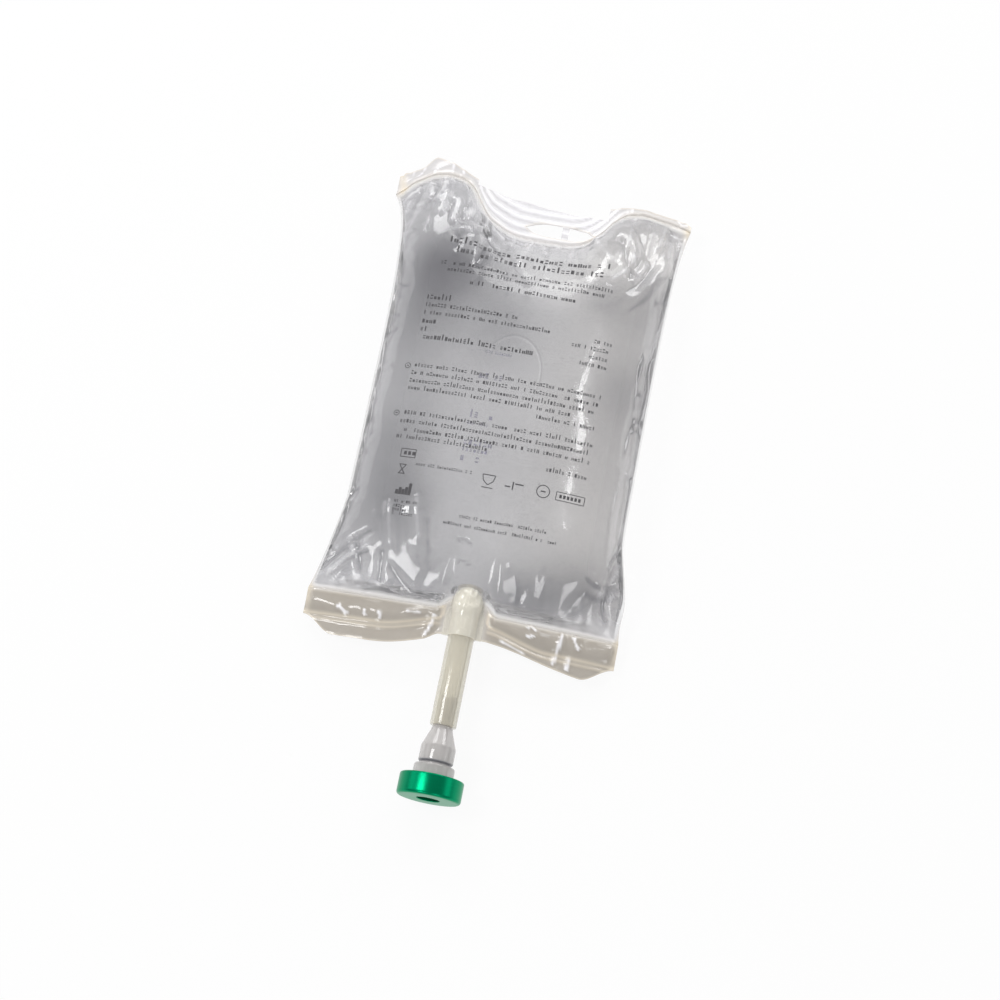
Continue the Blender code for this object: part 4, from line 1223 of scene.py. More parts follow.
    def ridge(self, places: Array) -> Array:
        """How much each point stands on a sharp ridge of the front, from 0 to 1."""
        x, y = places[:, 0], places[:, 1]
        inside = self.inside(x, y)
        bend = self.front_bend.at(x, y) * inside - self.sheet_bend.at(x, y) * (1.0 - inside)
        return unit(bend / self.bend_scale - self.least_bend)

    def valley(self, places: Array) -> Array:
        """How much each point lies in a hollow of the front, from 0 to 1; the fluid is painted darker there.
        """
        x, y = places[:, 0], places[:, 1]
        return unit(-self.front_bend.at(x, y) * self.inside(x, y) / self.bend_scale)


def lofted(name: str, grid: Array) -> Mesh:
    """Skins a grid of closed rings into a closed mesh; the end rings are closed front to back."""
    rows, count = grid.shape[:2]
    half = count // 2
    index = np.arange(rows * count).reshape(rows, count)
    low, high = index[:-1], index[1:]
    quads = np.stack((low, high, np.roll(high, -1, axis=1), np.roll(low, -1, axis=1)), axis=-1)
    faces = [tuple(face) for face in quads.reshape(-1, 4).tolist()]
    for ring, first in ((index[0], True), (index[-1], False)):
        for k in range(half):
            corners = [ring[k], ring[k + 1], ring[-k - 1], ring[-k] if k else ring[0]]
            corners = [int(c) for c in dict.fromkeys(corners)]
            faces.append(tuple(corners if first else corners[::-1]))
    mesh = bpy.data.meshes.new(name)
    mesh.from_pydata([tuple(p) for p in grid.reshape(-1, 3)], [], faces)
    mesh.update()
    return tidy_mesh(mesh, merge=1e-7)


@dataclass(frozen=True)
class FilmBag:
    """The film of the bag: chamber walls, pocketed flap, ears and slotted hanging strip."""

    form: BagForm
    relief: Relief
    columns: int = 150
    chamber_rows: int = 190
    flap_outer_rows: int = 12
    flap_pocket_rows: int = 16
    top_row_count: int = 26
    slot_centre: Point = (0.0068, 0.1788)
    slot_length: float = 0.0310
    slot_width: float = 0.0062
    slot_squareness: float = 3.5
    slot_tip: float = 0.00025
    bridge_centre: float = 0.0092
    bridge_width: float = 0.0030
    strip_depth: float = 0.0150
    strip_right: float = 0.027
    strip_left_rise: float = 0.0048
    strip_sag: float = 1.6
    strip_rag: Point = (0.00035, 0.004)
    notch_width: float = 0.0040
    notch_depth: float = 0.0010
    cutter_heights: Point = (-0.01, 0.05)
    bottom_line: Point = (0.65, 0.00102)
    second_line: Point = (0.6, 0.00072)
    lower_line: Point = (0.4, 0.00072)
    free_edge_line: Point = (0.5, 0.0005)
    top_edge_line: Point = (0.5, 0.0006)
    top_line: Triple = (0.28, 0.20, 0.0019)
    slot_line: Point = (0.45, 0.14)
    side_line: Point = (0.7, 0.0020)
    pocket_end_line: float = 0.7
    web_place: Point = (0.0076, 0.0020)
    web_line: float = 0.34
    web_clearing: float = 0.55
    sealed_flap: Point = (0.20, 0.45)
    sealed_white: Point = (0.92, -0.40)
    top_haze_and_sheen: Triple = (0.75, -0.15, 0.010)
    side_painted_sheen: Point = (0.32, 0.0034)
    low_painted_highlight: Point = (0.65, 0.006)
    corner_painted_highlight: Point = (0.95, 0.0085)
    # Places and half widths across of the painted highlights in the lower corners.
    corners: tuple[Point, Point] = ((-0.052, 0.019), (0.052, 0.015))

    def slot_window(self, left: float, right: float) -> list[Point]:
        """Outline of one window of the hanging slot between two ends."""
        centre_x, centre_y = self.slot_centre
        places = np.linspace(left, right, 25)
        rise = 1.0 - np.abs((places - centre_x) / (self.slot_length / 2.0)) ** self.slot_squareness
        rise = np.maximum(self.slot_width / 2.0 * rise, self.slot_tip)
        upper = [(x, centre_y + r) for x, r in zip(places, rise)]
        return [(x, centre_y - r) for x, r in zip(places[::-1], rise[::-1])] + upper

    def strip_outline(self) -> list[Point]:
        """Outline of the film that is cut away above the hanging strip."""
        form = self.form
        edge_y = form.chamber_length + self.strip_depth
        above = form.ear_top + self.strip_depth
        run = np.linspace(form.strip_left, self.strip_right - self.notch_width, 40)
        share = (run - form.strip_left) / (run[-1] - form.strip_left)
        tall, cell = self.strip_rag
        ragged = tall * soft_noise(run, run * 0.0, cell, 5)
        rise = self.strip_left_rise * (1.0 - share) ** self.strip_sag + ragged * np.sin(math.pi * share)
        edge = [(x, edge_y + r) for x, r in zip(run, rise)]
        right = self.strip_right
        return edge + [(right, edge_y - self.notch_depth), (right, above), (form.strip_left, above)]

    def cutter(self) -> Object:
        """One solid for all that is cut out of the hanging strip."""
        centre_x, half = self.slot_centre[0], self.slot_length / 2.0
        outlines = [
            self.slot_window(centre_x - half, self.bridge_centre - self.bridge_width / 2.0),
            self.slot_window(self.bridge_centre + self.bridge_width / 2.0, centre_x + half),
            self.strip_outline(),
        ]
        body = bmesh.new()
        shift_x, shift_y, _ = self.form.shift
        for outline in outlines:
            low, high = (
                [body.verts.new((x + shift_x, y + shift_y, z)) for x, y in outline]
                for z in self.cutter_heights
            )
            body.faces.new(low)
            body.faces.new(high[::-1])
            for k in range(len(outline)):
                after = (k + 1) % len(outline)
                body.faces.new((low[k], high[k], high[after], low[after]))
        bmesh.ops.recalc_face_normals(body, faces=body.faces)
        mesh = bpy.data.meshes.new("strip_cutter")
        body.to_mesh(mesh)
        body.free()
        return linked("strip_cutter", mesh)

    def build(self) -> Mesh:
        """The film's closed mesh, with its slot and strip cut out."""
        form = self.form
        angles = form.ring_angles(self.columns)
        shares = np.linspace(0.0, 1.0, self.chamber_rows)
        rows = form.flap_rows(angles, self.flap_outer_rows, self.flap_pocket_rows)
        rows += [form.chamber_row(share, angles, 0.0) for share in shares]
        rows += form.top_rows(angles, self.top_row_count)
        grid = self.relief.applied(form.placed(rows), angles, with_bubble=False)
        whole = linked("uncut_film", lofted("uncut_film", grid))
        cutter = self.cutter()
        step = whole.modifiers.new("strip", "BOOLEAN")
        step.operation, step.solver, step.object = "DIFFERENCE", "EXACT", cutter
        mesh = evaluated_mesh(whole)
        for scrap in (whole, cutter):
            bpy.data.objects.remove(scrap, do_unlink=True)
        return mesh

    def webs(self, x: Array) -> Array:
        """1 on the narrow webs of film on both sides of the port's sleeve."""
        return bell(np.abs(x) - self.web_place[0], self.web_place[1])

    def weld_lines(self, x: Array, y: Array, z: Array) -> Array:
        """How strongly a cream weld line shows at each point, in the plan from the bottom weld."""
        form = self.form
        weld, second = form.bottom_weld(x), form.second_weld(x)
        past_port = smoothstep((np.abs(x) - form.pocket_start + 0.0005) / 0.002)
        pair = drawn(self.second_line, y - second) + drawn(self.lower_line, y - second + form.lower_bead)
        line = drawn(self.bottom_line, y - weld) + pair * past_port
        line += self.pocket_end_line * form.pocket_end(x, y)
        line += drawn(self.free_edge_line, y + form.flap_edge(x))
        line += self.web_line * self.webs(x) * smoothstep((weld - y) / 0.002)
        line += drawn(self.top_edge_line, y - form.top_edge(x))
        low, in_ears, wide = self.top_line
        line += (low + in_ears * form.ear_share(x)) * bell(y - form.top_weld(x) + 0.0006, wide)
        across = np.abs((x - self.slot_centre[0]) / (self.slot_length / 2.0)) ** self.slot_squareness
        round_slot = across + np.abs((y - self.slot_centre[1]) / (self.slot_width / 2.0))
        line += drawn(self.slot_line, round_slot - 1.10)
        return line + drawn(self.side_line, form.from_side(x, y)) * bell(z - form.middle_at(x, y), 0.0014)

    def mark_parts(self, mesh: Mesh) -> None:
        """Stores how much of weld bead, flap, whitening and ridge each point of the film is. The whitening is
        haze of the folded and sealed film with painted sheen and highlights on top, and the ridge value
        carries painted highlights in the lower corners.
        """
        form = self.form
        places = points_of(mesh)
        x, y = form.plan(places[:, 0], places[:, 1])
        up, above, share = y - form.bottom_weld(x), y - form.top_weld(x), form.ear_share(x)
        sealed, inside = smoothstep(above / 0.001), smoothstep(up / 0.001)
        flap = smoothstep(-up / 0.0012) * (1.0 - self.web_clearing * self.webs(x))
        flap += sealed * (self.sealed_flap[0] + self.sealed_flap[1] * share)
        # Whiter film below the top weld and in the sealed film: haze of crumpled and sealed film, partly
        # painted sheen.
        strip, by_ear, reach = self.top_haze_and_sheen
        ear = (strip + by_ear * share) * ebb(-above, reach) * (1.0 - sealed)
        ear += sealed * (self.sealed_white[0] + self.sealed_white[1] * share)
        # Painted sheen along both side folds, mottled by noise; the same mottle breaks up the painted corner
        # highlights.
        sheen_mottle = 0.6 + 0.4 * soft_noise(places[:, 0] * 2.0, places[:, 1], 0.006, self.relief.seed + 9)
        ends = smoothstep(up / 0.004) * smoothstep(-above / 0.004)
        ear += drawn(self.side_painted_sheen, form.from_side(x, y) - 0.0030) * ends * sheen_mottle
        # Painted highlight: a white band just above the bottom weld.
        ear += self.low_painted_highlight[0] * ebb(up, self.low_painted_highlight[1]) * inside
        # Painted highlights in both lower corners just above the bottom weld, stored with the ridge value.
        glow = sum(bell(x - place, wide) for place, wide in self.corners)
        glow = glow * drawn(self.corner_painted_highlight, up) * inside * sheen_mottle
        set_numbers(mesh, "bead", unit(self.weld_lines(x, y, places[:, 2])))
        set_numbers(mesh, "flap", unit(flap))
        set_numbers(mesh, "ear", unit(ear))
        set_numbers(mesh, "ridge", np.clip(self.relief.ridge(places) + glow, 0.0, 1.4))

    def make(self) -> Object:
        """Builds and dresses the film."""
        mesh = self.build()
        self.mark_parts(mesh)
        piece = new_piece("soft_film", mesh, FilmFinish().material(), 50.0)
        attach(piece, "root")
        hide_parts("bag_film")
        return piece


@dataclass(frozen=True)
class PortSleeve:
    """Film drawn tightly over the port tube, with a welded wing on each side and a crinkled dome."""

    form: BagForm
    tight: float = 0.0060
    loose: float = 0.0066
    wing: float = 0.0020
    wing_wall: float = 0.00055
    dome_start: float = 0.0040
    dome_length: float = 0.0088
    crinkle: float = 0.00036
    crinkle_cells: Point = (0.0026, 0.0018)
    overlap: float = 0.0004
    cream: Triple = (0.34, 0.34, 0.24)
    # Whitening of the crinkle lines, more on the dome: partly whitened film, partly painted highlights.
    white: Point = (0.15, 0.35)
    half_columns: int = 44
    rows: int = 72
    seed: int = 31

    def ring(self, y: float) -> Array:
        """One closed ring of the sleeve, at a distance up the bag from the bottom weld."""
        grow = float(smoothstep((y + 0.003) / 0.006))
        radius = self.tight + (self.loose - self.tight) * grow
        past = max(0.0, (y - self.dome_start) / self.dome_length)
        close = math.sqrt(max(1.0 - past**2, 0.0))
        radius = radius * close
        reach = radius + self.wing * (1.0 - grow) + self.overlap
        u = np.cos(np.linspace(0.0, math.pi, self.half_columns + 1))
        x = np.concatenate((u, u[-2:0:-1])) * reach
        sign = np.concatenate((np.ones(self.half_columns + 1), -np.ones(self.half_columns - 1)))
        tube = np.sqrt(np.maximum(radius**2 - x**2, 0.0))
        wing = self.wing_wall * unit(1.0 - (x / reach) ** 8) ** 0.5 * max(close, 0.2)
        height = (tube**3 + wing**3) ** (1.0 / 3.0)
        ridged = 1.0 - 2.0 * np.abs(soft_noise(x * 1.2, x * 0.0 + y * 0.7, self.crinkle_cells[0], self.seed))
        height = height + self.crinkle * ridged * (0.25 + 0.75 * grow) * (height > self.wing_wall * 1.2)
        z = self.form.port_height + sign * np.maximum(height, 0.0) * (np.abs(u[0]) if radius else 0.0)
        return np.stack((x, np.full(x.shape, y), z), axis=1)

    def make(self) -> Object:
        """Builds and dresses the sleeve."""
        form = self.form
        low = -form.flap_depth_at_port - self.overlap
        high = self.dome_start + self.dome_length * 0.995
        turn = np.linspace(0.0, math.pi / 2.0, self.rows)
        grid = form.placed([self.ring(low + (high - low) * math.sin(t)) for t in turn])
        mesh = lofted("film_sleeve", grid)
        x, y, z = points_of(mesh).T
        dome = smoothstep((form.plan(x, y)[1] + 0.002) / 0.005)
        crease = np.abs(soft_noise(x * 1.2, y * 0.8, self.crinkle_cells[1], self.seed + 1))
        round_part = smoothstep((np.abs(z - form.port_height) - 0.0006) / 0.0022)
        least, by_round, by_dome = self.cream
        set_numbers(mesh, "bead", least + (by_round + by_dome * dome) * round_part)
        set_numbers(mesh, "flap", np.zeros(len(x)))
        set_numbers(mesh, "ear", np.zeros(len(x)))
        # Whiter crinkle lines, partly painted highlights on the dome.
        white = self.white[0] + self.white[1] * dome
        set_numbers(mesh, "ridge", unit(1.0 - 6.0 * crease) * white)
        finish = FilmFinish(
            "film_over_port", (0.94, 0.91, 0.81, 1.0), cream_colour=(0.97, 0.93, 0.81, 1.0), haze=0.20
        )
        piece = new_piece("film_sleeve", mesh, finish.material(), 60.0)
        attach(piece, "root")
        return piece


@dataclass(frozen=True)
class SalineFill:
    """The fluid in the chamber, just inside the film."""

    form: BagForm
    relief: Relief
    columns: int = 140
    row_count: int = 170
    inset: float = 0.0008
    # Painted light and shade in the fluid: soft lighter and darker patches over the plan.
    shades: tuple[Shade, ...] = tuple(Shade(*row) for row in (
        (-0.044, 0.066, 0.018, 0.026, -0.26), (-0.034, 0.090, 0.016, 0.016, -0.46),
        (0.030, 0.086, 0.008, 0.005, -0.22), (0.044, 0.088, 0.014, 0.016, -0.16),
        (0.046, 0.044, 0.012, 0.014, -0.14), (-0.008, 0.066, 0.018, 0.020, -0.24),
        (-0.040, 0.000, 0.016, 0.034, -0.26), (-0.034, -0.024, 0.016, 0.014, -0.16),
        (0.050, 0.036, 0.014, 0.026, -0.08), (0.046, -0.046, 0.018, 0.013, -0.34),
        (0.020, -0.052, 0.018, 0.010, -0.34), (-0.010, 0.112, 0.030, 0.012, 0.30),
        (0.002, 0.092, 0.014, 0.010, 0.24), (0.024, 0.104, 0.010, 0.012, 0.16),
        (0.016, 0.087, 0.012, 0.007, 0.26), (0.034, 0.099, 0.008, 0.007, 0.30),
        (0.050, 0.112, 0.012, 0.010, 0.30), (-0.022, -0.050, 0.010, 0.009, -0.22),
    ))
    # The bubble's rim, with the strength of its painted highlight and shade.
    ring: Shade = Shade(0.001, 0.0395, 0.0128, 0.0168, 0.17)

    def make(self) -> Object:
        """Builds and dresses the fluid."""
        form = self.form
        angles = form.ring_angles(self.columns)
        shares = np.linspace(0.0, 1.0, self.row_count)
        rows = [form.chamber_row(share, angles, self.inset) for share in shares]
        grid = self.relief.applied(form.placed(rows), angles, with_bubble=True)
        mesh = lofted("saline_in_bag", grid)
        # Hollows of the front, where the fluid is painted darker.
        set_numbers(mesh, "valley", self.relief.valley(points_of(mesh)))
        finish = WaterFinish(shades=self.shades, ring=self.ring)
        piece = new_piece("saline_in_bag", mesh, finish.material(), 80.0)
        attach(piece, "root")
        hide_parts("saline_fill")
        return piece


class Weight(Enum):
    """How heavy a line of the print is: height, pitch and stroke of its marks, in metres."""

    TITLE = (0.0026, 0.0021, 0.00075)
    BOLD = (0.0020, 0.0016, 0.00056)
    PLAIN = (0.0017, 0.00135, 0.00040)
    SMALL = (0.0013, 0.00100, 0.00028)


@dataclass(frozen=True)
class PrintLine:
    """One line of the print, as marks that stand for words. Places are millimetres."""

    left: float
    right: float
    height: float
    weight: Weight


def print_lines(*groups: tuple) -> tuple[PrintLine, ...]:
    """Lines of the print from groups of a weight and the left end, right end and height of each line."""
    return tuple(PrintLine(*line, weight) for weight, *lines in groups for line in lines)


PRINT_LINES = print_lines(
    (Weight.TITLE, (-37.0, 35.8, 95.6), (-33.2, 32.2, 91.0)),
    (Weight.PLAIN, (-38.5, 37.8, 84.4), (-35.0, 34.4, 81.4)),
    (Weight.BOLD, (-24.2, 23.0, 76.5), (-41.5, -29.0, 67.6)),
    (Weight.PLAIN, (-41.3, 0.8, 64.0), (-41.3, 15.2, 60.4)),
    (Weight.BOLD, (-41.2, -34.8, 56.4), (-41.2, -37.9, 52.8), (-41.0, 11.4, 49.2)),
    (Weight.PLAIN, (33.0, 41.2, 60.2), (23.8, 41.2, 56.8), (32.1, 41.2, 53.0), (28.3, 41.2, 49.4),
        (-40.2, 41.2, 36.0), (-41.0, 41.0, 32.4), (-41.0, 41.1, 28.8), (-41.0, 30.2, 25.4),
        (14.8, 41.4, 21.6), (-40.2, 41.2, 14.2), (-41.2, 41.2, 10.4), (-41.3, 41.4, 6.6),
        (-41.3, -0.8, 3.4), (23.4, 41.6, -0.4)),
    (Weight.SMALL, (-31.4, -6.0, -8.0), (-36.2, -25.8, -25.2), (-36.2, -28.0, -27.2),
        (-36.2, -29.6, -28.8), (-36.2, -26.4, -30.4), (-8.2, 29.2, -27.3), (-14.2, 34.6, -30.9)),
)


STAMP_LINES = print_lines(
    (Weight.SMALL, (-13.5, -1.0, 55.6)),
    (Weight.TITLE, (-14.0, -2.0, 44.0), (-14.5, -3.0, 25.6)),
    (Weight.SMALL, (-14.5, -5.0, 21.6)),
    (Weight.TITLE, (-14.5, -1.0, 13.0)),
    (Weight.BOLD, (-14.5, -3.0, 9.6)),
    (Weight.TITLE, (-14.5, -4.0, 5.4)),
)


Stroke = tuple[float, float, float, float, float]

CUP = (
    (-1.8, -7.6, 3.6, -7.6), (-1.8, -7.6, -1.2, -10.2), (3.6, -7.6, 3.0, -10.2),
    (-1.2, -10.2, 0.9, -12.0), (3.0, -10.2, 0.9, -12.0), (-1.4, -13.2, 3.2, -13.2),
)
POST_AND_BARS = ((8.0, -11.0, 10.4, -11.0), (11.4, -8.6, 11.4, -12.2), (12.2, -9.4, 15.8, -9.4))
HOURGLASS = (
    (-37.2, -9.0, -34.2, -9.0), (-37.2, -13.0, -34.2, -13.0),
    (-37.0, -9.2, -34.6, -12.8), (-34.4, -9.2, -36.8, -12.8),
)
STEP_HEIGHTS = (2.0, 3.0, 2.4, 3.4, 5.2)


def frame_strokes(x: float, y: float, wide: float, tall: float, stroke: float) -> list[Stroke]:
    """The four strokes of a rectangle round a centre."""
    left, right, low, high = x - wide / 2, x + wide / 2, y - tall / 2, y + tall / 2
    level = [(left, row, right, row, stroke) for row in (low, high)]
    return level + [(column, low, column, high, stroke) for column in (left, right)]


def ring_strokes(x: float, y: float, radius: float, sides: int, stroke: float) -> list[Stroke]:
    """The strokes of a ring round a centre."""
    turn = np.linspace(0, 2 * math.pi, sides + 1)
    points = [(x + radius * math.cos(a), y + radius * math.sin(a)) for a in turn]
    return [(*a, *b, stroke) for a, b in zip(points, points[1:])]


def sign_strokes() -> list[Stroke]:
    """Strokes of the plain signs: two frames, three rings, a cup, bars, an hourglass and a stepped block.

    Returns:
        Start, end and width of each stroke, in millimetres.
    """
    out = frame_strokes(-34.5, -3.8, 6.2, 3.6, 0.32) + frame_strokes(35.8, -10.8, 12.0, 3.6, 0.32)
    out += [(-36.4 + 1.8 * k, -3.8, -35.2 + 1.8 * k, -3.8, 1.6) for k in range(3)]
    out += [(31.2 + 1.6 * k, -10.8, 32.2 + 1.6 * k, -10.8, 1.5) for k in range(6)]
    out += ring_strokes(24.2, -10.2, 2.7, 24, 0.4) + [(23.2, -10.2, 25.2, -10.2, 0.6)]
    for x, y in ((-42.9, 35.3), (-43.3, 13.5)):
        out += ring_strokes(x, y, 1.15, 12, 0.26) + [(x - 0.5, y, x + 0.5, y, 0.4)]
    for lines, stroke in ((CUP, 0.4), (POST_AND_BARS, 0.55), (HOURGLASS, 0.4)):
        out += [(*line, stroke) for line in lines]
    for k, tall in enumerate(STEP_HEIGHTS):
        out.append((-36.0 + 1.35 * k, -22.2, -36.0 + 1.35 * k, -22.2 + tall, 1.25))
    return out


@dataclass(frozen=True)
class Print:
    """Rows of small marks in place of words, laid on one side of a curved piece."""

    name: str
    under: Object
    lines: tuple[PrintLine, ...]
    ink: InkFinish
    from_above: bool = True
    with_signs: bool = False
    lift: float = 0.00006
    seed: int = 4
    gap_share: float = 0.15
    tall_share: float = 0.3
    tall_by: float = 0.35
    sign_step: float = 0.8

    def marks_tree(self) -> GeometryNodeTree:
        """A tree that sets marks along X, with gaps between words, and lays them on the piece."""
        group = new_tree(
            "row_of_marks",
            (
                ("Left", "Float"), ("Right", "Float"), ("Row", "Float"), ("Mark Height", "Float"),
                ("Pitch", "Float"), ("Stroke", "Float"), ("Seed", "Int"), ("Piece", "Object"),
                ("Ray Start", "Float"), ("Ray Way", "Float"), ("Lift", "Float"), ("Ink", "Material"),
            ),
        )
        tree = Tree(group)
        inputs = tree.node("NodeGroupInput")
        given = inputs.outputs
        left, right, row, tall, pitch, seed = (
            tree.value(inputs, name) for name in ("Left", "Right", "Row", "Mark Height", "Pitch", "Seed")
        )
        thick = tree.value(inputs, "Stroke") / pitch

        def vector(**parts: Any) -> Any:
            """The socket of a vector from its parts."""
            return tree.out("ShaderNodeCombineXYZ", parts)

        def random(low: float, high: float, extra: int) -> Value:
            """A random number for each mark."""
            sockets = {2: low, 3: high, "Seed": seed + float(extra)}
            return tree.value(tree.node("FunctionNodeRandomValue", {"data_type": "FLOAT"}, sockets), 1)

        def stroke(x: float, y: float, wide: Any, high: Any) -> Any:
            """The socket of one straight stroke of a mark, in a cell of 1 by 1."""
            grid = tree.out("GeometryNodeMeshGrid", {2: 2, 3: 3})
            middle, size = vector(X=x, Y=y), vector(X=wide, Y=high, Z=1.0)
            sockets = {"Geometry": grid, "Translation": middle, "Scale": size}
            return tree.out("GeometryNodeTransform", sockets)

        start = vector(X=left + pitch * 0.5, Y=row, Z=given["Ray Start"])
        end = vector(X=right - pitch * 0.5, Y=row, Z=given["Ray Start"])
        sockets = {"Start Location": start, "Offset": end, "Resolution": pitch}
        line = tree.out("GeometryNodeMeshLine", sockets, {"mode": "END_POINTS", "count_mode": "RESOLUTION"})
        block = [stroke(0.0, 0.34, 0.66, 0.66)]
        post = [stroke(0.0, 0.5, thick, 1.0)]
        pair = [stroke(-0.24, 0.34, thick, 0.68), stroke(0.24, 0.34, thick, 0.68)]
        stack = [stroke(0.0, 0.62, 0.66, 0.22), stroke(0.0, 0.12, 0.66, 0.22)]
        tiers = [stroke(0.0, height, 0.62, 0.17) for height in (0.08, 0.36, 0.64)]
        shapes = []
        for strokes in (block, post, pair, stack, tiers):
            joined = tree.out("GeometryNodeJoinGeometry", {0: strokes})
            shapes.append(tree.out("GeometryNodeGeometryToInstance", {0: [joined]}))
        kinds = tree.out("GeometryNodeJoinGeometry", {0: shapes})
        gap = random(0.0, 1.0, 1).below(self.gap_share)
        some = tree.out("GeometryNodeDeleteGeometry", {0: line, 1: gap}, {"domain": "POINT"})
        rise = tall * (random(0.0, 1.0, 3).below(self.tall_share) * self.tall_by + 1.0)
        sockets = {
            "Points": some, "Instance": kinds, "Pick Instance": True,
            "Instance Index": random(0.0, len(shapes) - 0.01, 2), "Scale": vector(X=pitch, Y=rise, Z=1.0),
        }
        laid = tree.out("GeometryNodeInstanceOnPoints", sockets)
        real = tree.out("GeometryNodeRealizeInstances", {0: laid})
        piece = tree.node("GeometryNodeObjectInfo", None, {"Object": given["Piece"]})
        way = vector(Z=given["Ray Way"])
        sockets = {"Target Geometry": piece.outputs["Geometry"], "Ray Direction": way, "Ray Length": 0.2}
        hit = tree.node("GeometryNodeRaycast", None, sockets).outputs
        sockets = {0: hit["Hit Normal"], "Scale": given["Lift"]}
        lift = tree.out("ShaderNodeVectorMath", sockets, {"operation": "SCALE"})
        place = tree.out("ShaderNodeVectorMath", {0: hit["Hit Position"], 1: lift}, {"operation": "ADD"})
        sockets = {"Geometry": real, "Selection": hit["Is Hit"], "Position": place}
        settled = tree.out("GeometryNodeSetPosition", sockets)
        inked = tree.out("GeometryNodeSetMaterial", {"Geometry": settled, "Material": given["Ink"]})
        tree.node("NodeGroupOutput", None, {0: inked})
        return group

    @property
    def ray_start(self) -> float:
        """Height from which the marks are dropped or raised onto the piece."""
        return 0.06 if self.from_above else -0.02

    @property
    def ray_way(self) -> float:
        """Way along Z in which the marks travel."""
        return -1.0 if self.from_above else 1.0

    def marks(self, ink: Material) -> list[Mesh]:
        """One mesh of marks for each line of the print."""
        group = self.marks_tree()
        made = []
        for number, line in enumerate(self.lines):
            tall, pitch, stroke = line.weight.value
            values = {
                "Left": line.left * MM, "Right": line.right * MM, "Row": line.height * MM - tall / 2.0,
                "Mark Height": tall, "Pitch": pitch, "Stroke": stroke, "Seed": self.seed + number,
                "Piece": self.under, "Ray Start": self.ray_start, "Ray Way": self.ray_way,
                "Lift": self.lift, "Ink": ink,
            }
            made.append(run_tree(bpy.data.meshes.new("marks_guide"), group, values))
        return made

    def signs(self) -> Mesh:
        """The plain signs below the lines, as one flat mesh."""
        body = bmesh.new()
        for x0, y0, x1, y1, wide in sign_strokes():
            start, end = np.array((x0, y0)), np.array((x1, y1))
            run = end - start
            side = np.array((-run[1], run[0])) / max(np.hypot(*run), 1e-9) * wide / 2.0
            steps = max(2, int(np.hypot(*run) / self.sign_step))
            edges = []
            for share in np.linspace(0.0, 1.0, steps + 1):
                middle = start + share * run
                edges.append([body.verts.new((*(middle + s) * MM, 0.0)) for s in (side, -side)])
            for (a, b), (c, d) in zip(edges, edges[1:]):
                body.faces.new((a, b, d, c))
        mesh = bpy.data.meshes.new("plain_signs")
        body.to_mesh(mesh)
        body.free()
        return mesh

    def settled(self, mesh: Mesh) -> Mesh:
        """Lays a flat mesh onto the piece."""
        for vertex in mesh.vertices:
            origin = Vector((vertex.co.x, vertex.co.y, self.ray_start))
            hit, place, normal, _ = self.under.ray_cast(origin, Vector((0.0, 0.0, self.ray_way)))
            vertex.co = place + normal * self.lift if hit else origin
        return mesh

    def make(self) -> Object:
        """Builds and dresses the print as one piece."""
        ink = self.ink.material()
        bpy.context.view_layer.update()
        meshes = self.marks(ink)
        if self.with_signs:
            meshes.append(self.settled(self.signs()))
        whole = bmesh.new()
        for mesh in meshes:
            whole.from_mesh(mesh)
            bpy.data.meshes.remove(mesh)
        mesh = bpy.data.meshes.new(self.name)
        whole.to_mesh(mesh)
        whole.free()
        for face in mesh.polygons:
            face.material_index = 0
        piece = new_piece(self.name, mesh, ink, 80.0)
        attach(piece, "root")
        return piece


@dataclass(frozen=True)
class TurnedPiece:
    """A piece turned about the port's axis, from pairs of radius and station.

    A station is a distance down the port from the bottom weld.
    """

    name: str
    node: str
    slot: str
    profile: Line
    closed: bool
    axis: Point = (0.00170, 0.0134)
    weld: float = -0.06266
    steps: int = 96
    rail: float = 0.004
    merge: float = 1e-6
    crease: float = 32.0

    def tree(self) -> GeometryNodeTree:
        """A tree that sweeps a profile curve round a circle and merges its poles."""
        inputs = (("Profile", "Geometry"), ("Rail Radius", "Float"), ("Steps", "Int"), ("Finish", "Material"))
        group = new_tree("turned_" + self.name, inputs)
        tree = Tree(group)
        given = tree.node("NodeGroupInput").outputs
        sockets = {"Resolution": given["Steps"], "Radius": given["Rail Radius"]}
        rail = tree.out("GeometryNodeCurvePrimitiveCircle", sockets)
        swept = tree.out("GeometryNodeCurveToMesh", {"Curve": rail, "Profile Curve": given["Profile"]})
        merged = tree.out("GeometryNodeMergeByDistance", {"Geometry": swept, "Distance": self.merge})
        real = tree.out("GeometryNodeRealizeInstances", {0: merged})
        dressed = tree.out("GeometryNodeSetMaterial", {"Geometry": real, "Material": given["Finish"]})
        tree.node("NodeGroupOutput", None, {0: dressed})
        return group

    def build(self, finish: Material) -> Mesh:
        """The turned mesh, in place."""
        curve = bpy.data.curves.new(self.name + "_profile", "CURVE")
        curve.dimensions = "3D"
        line = curve.splines.new("POLY")
        line.points.add(len(self.profile) - 1)
        for point, (radius, station) in zip(line.points, self.profile):
            point.co = (radius - self.rail, station, 0.0, 1.0)
        line.use_cyclic_u = self.closed
        values = {"Rail Radius": self.rail, "Steps": self.steps, "Finish": finish}
        mesh = tidy_mesh(run_tree(curve, self.tree(), values))
        for vertex in mesh.vertices:
            x, y, station = vertex.co
            vertex.co = (x + self.axis[0], self.weld + station, self.axis[1] + y)
        mesh.update()
        return tidy_mesh(mesh)

    def make(self, finish: Finish) -> Object:
        material = finish.material()
        piece = new_piece(self.name, self.build(material), material, self.crease)
        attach(piece, "root")
        if self.node:
            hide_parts(self.node)
        return piece


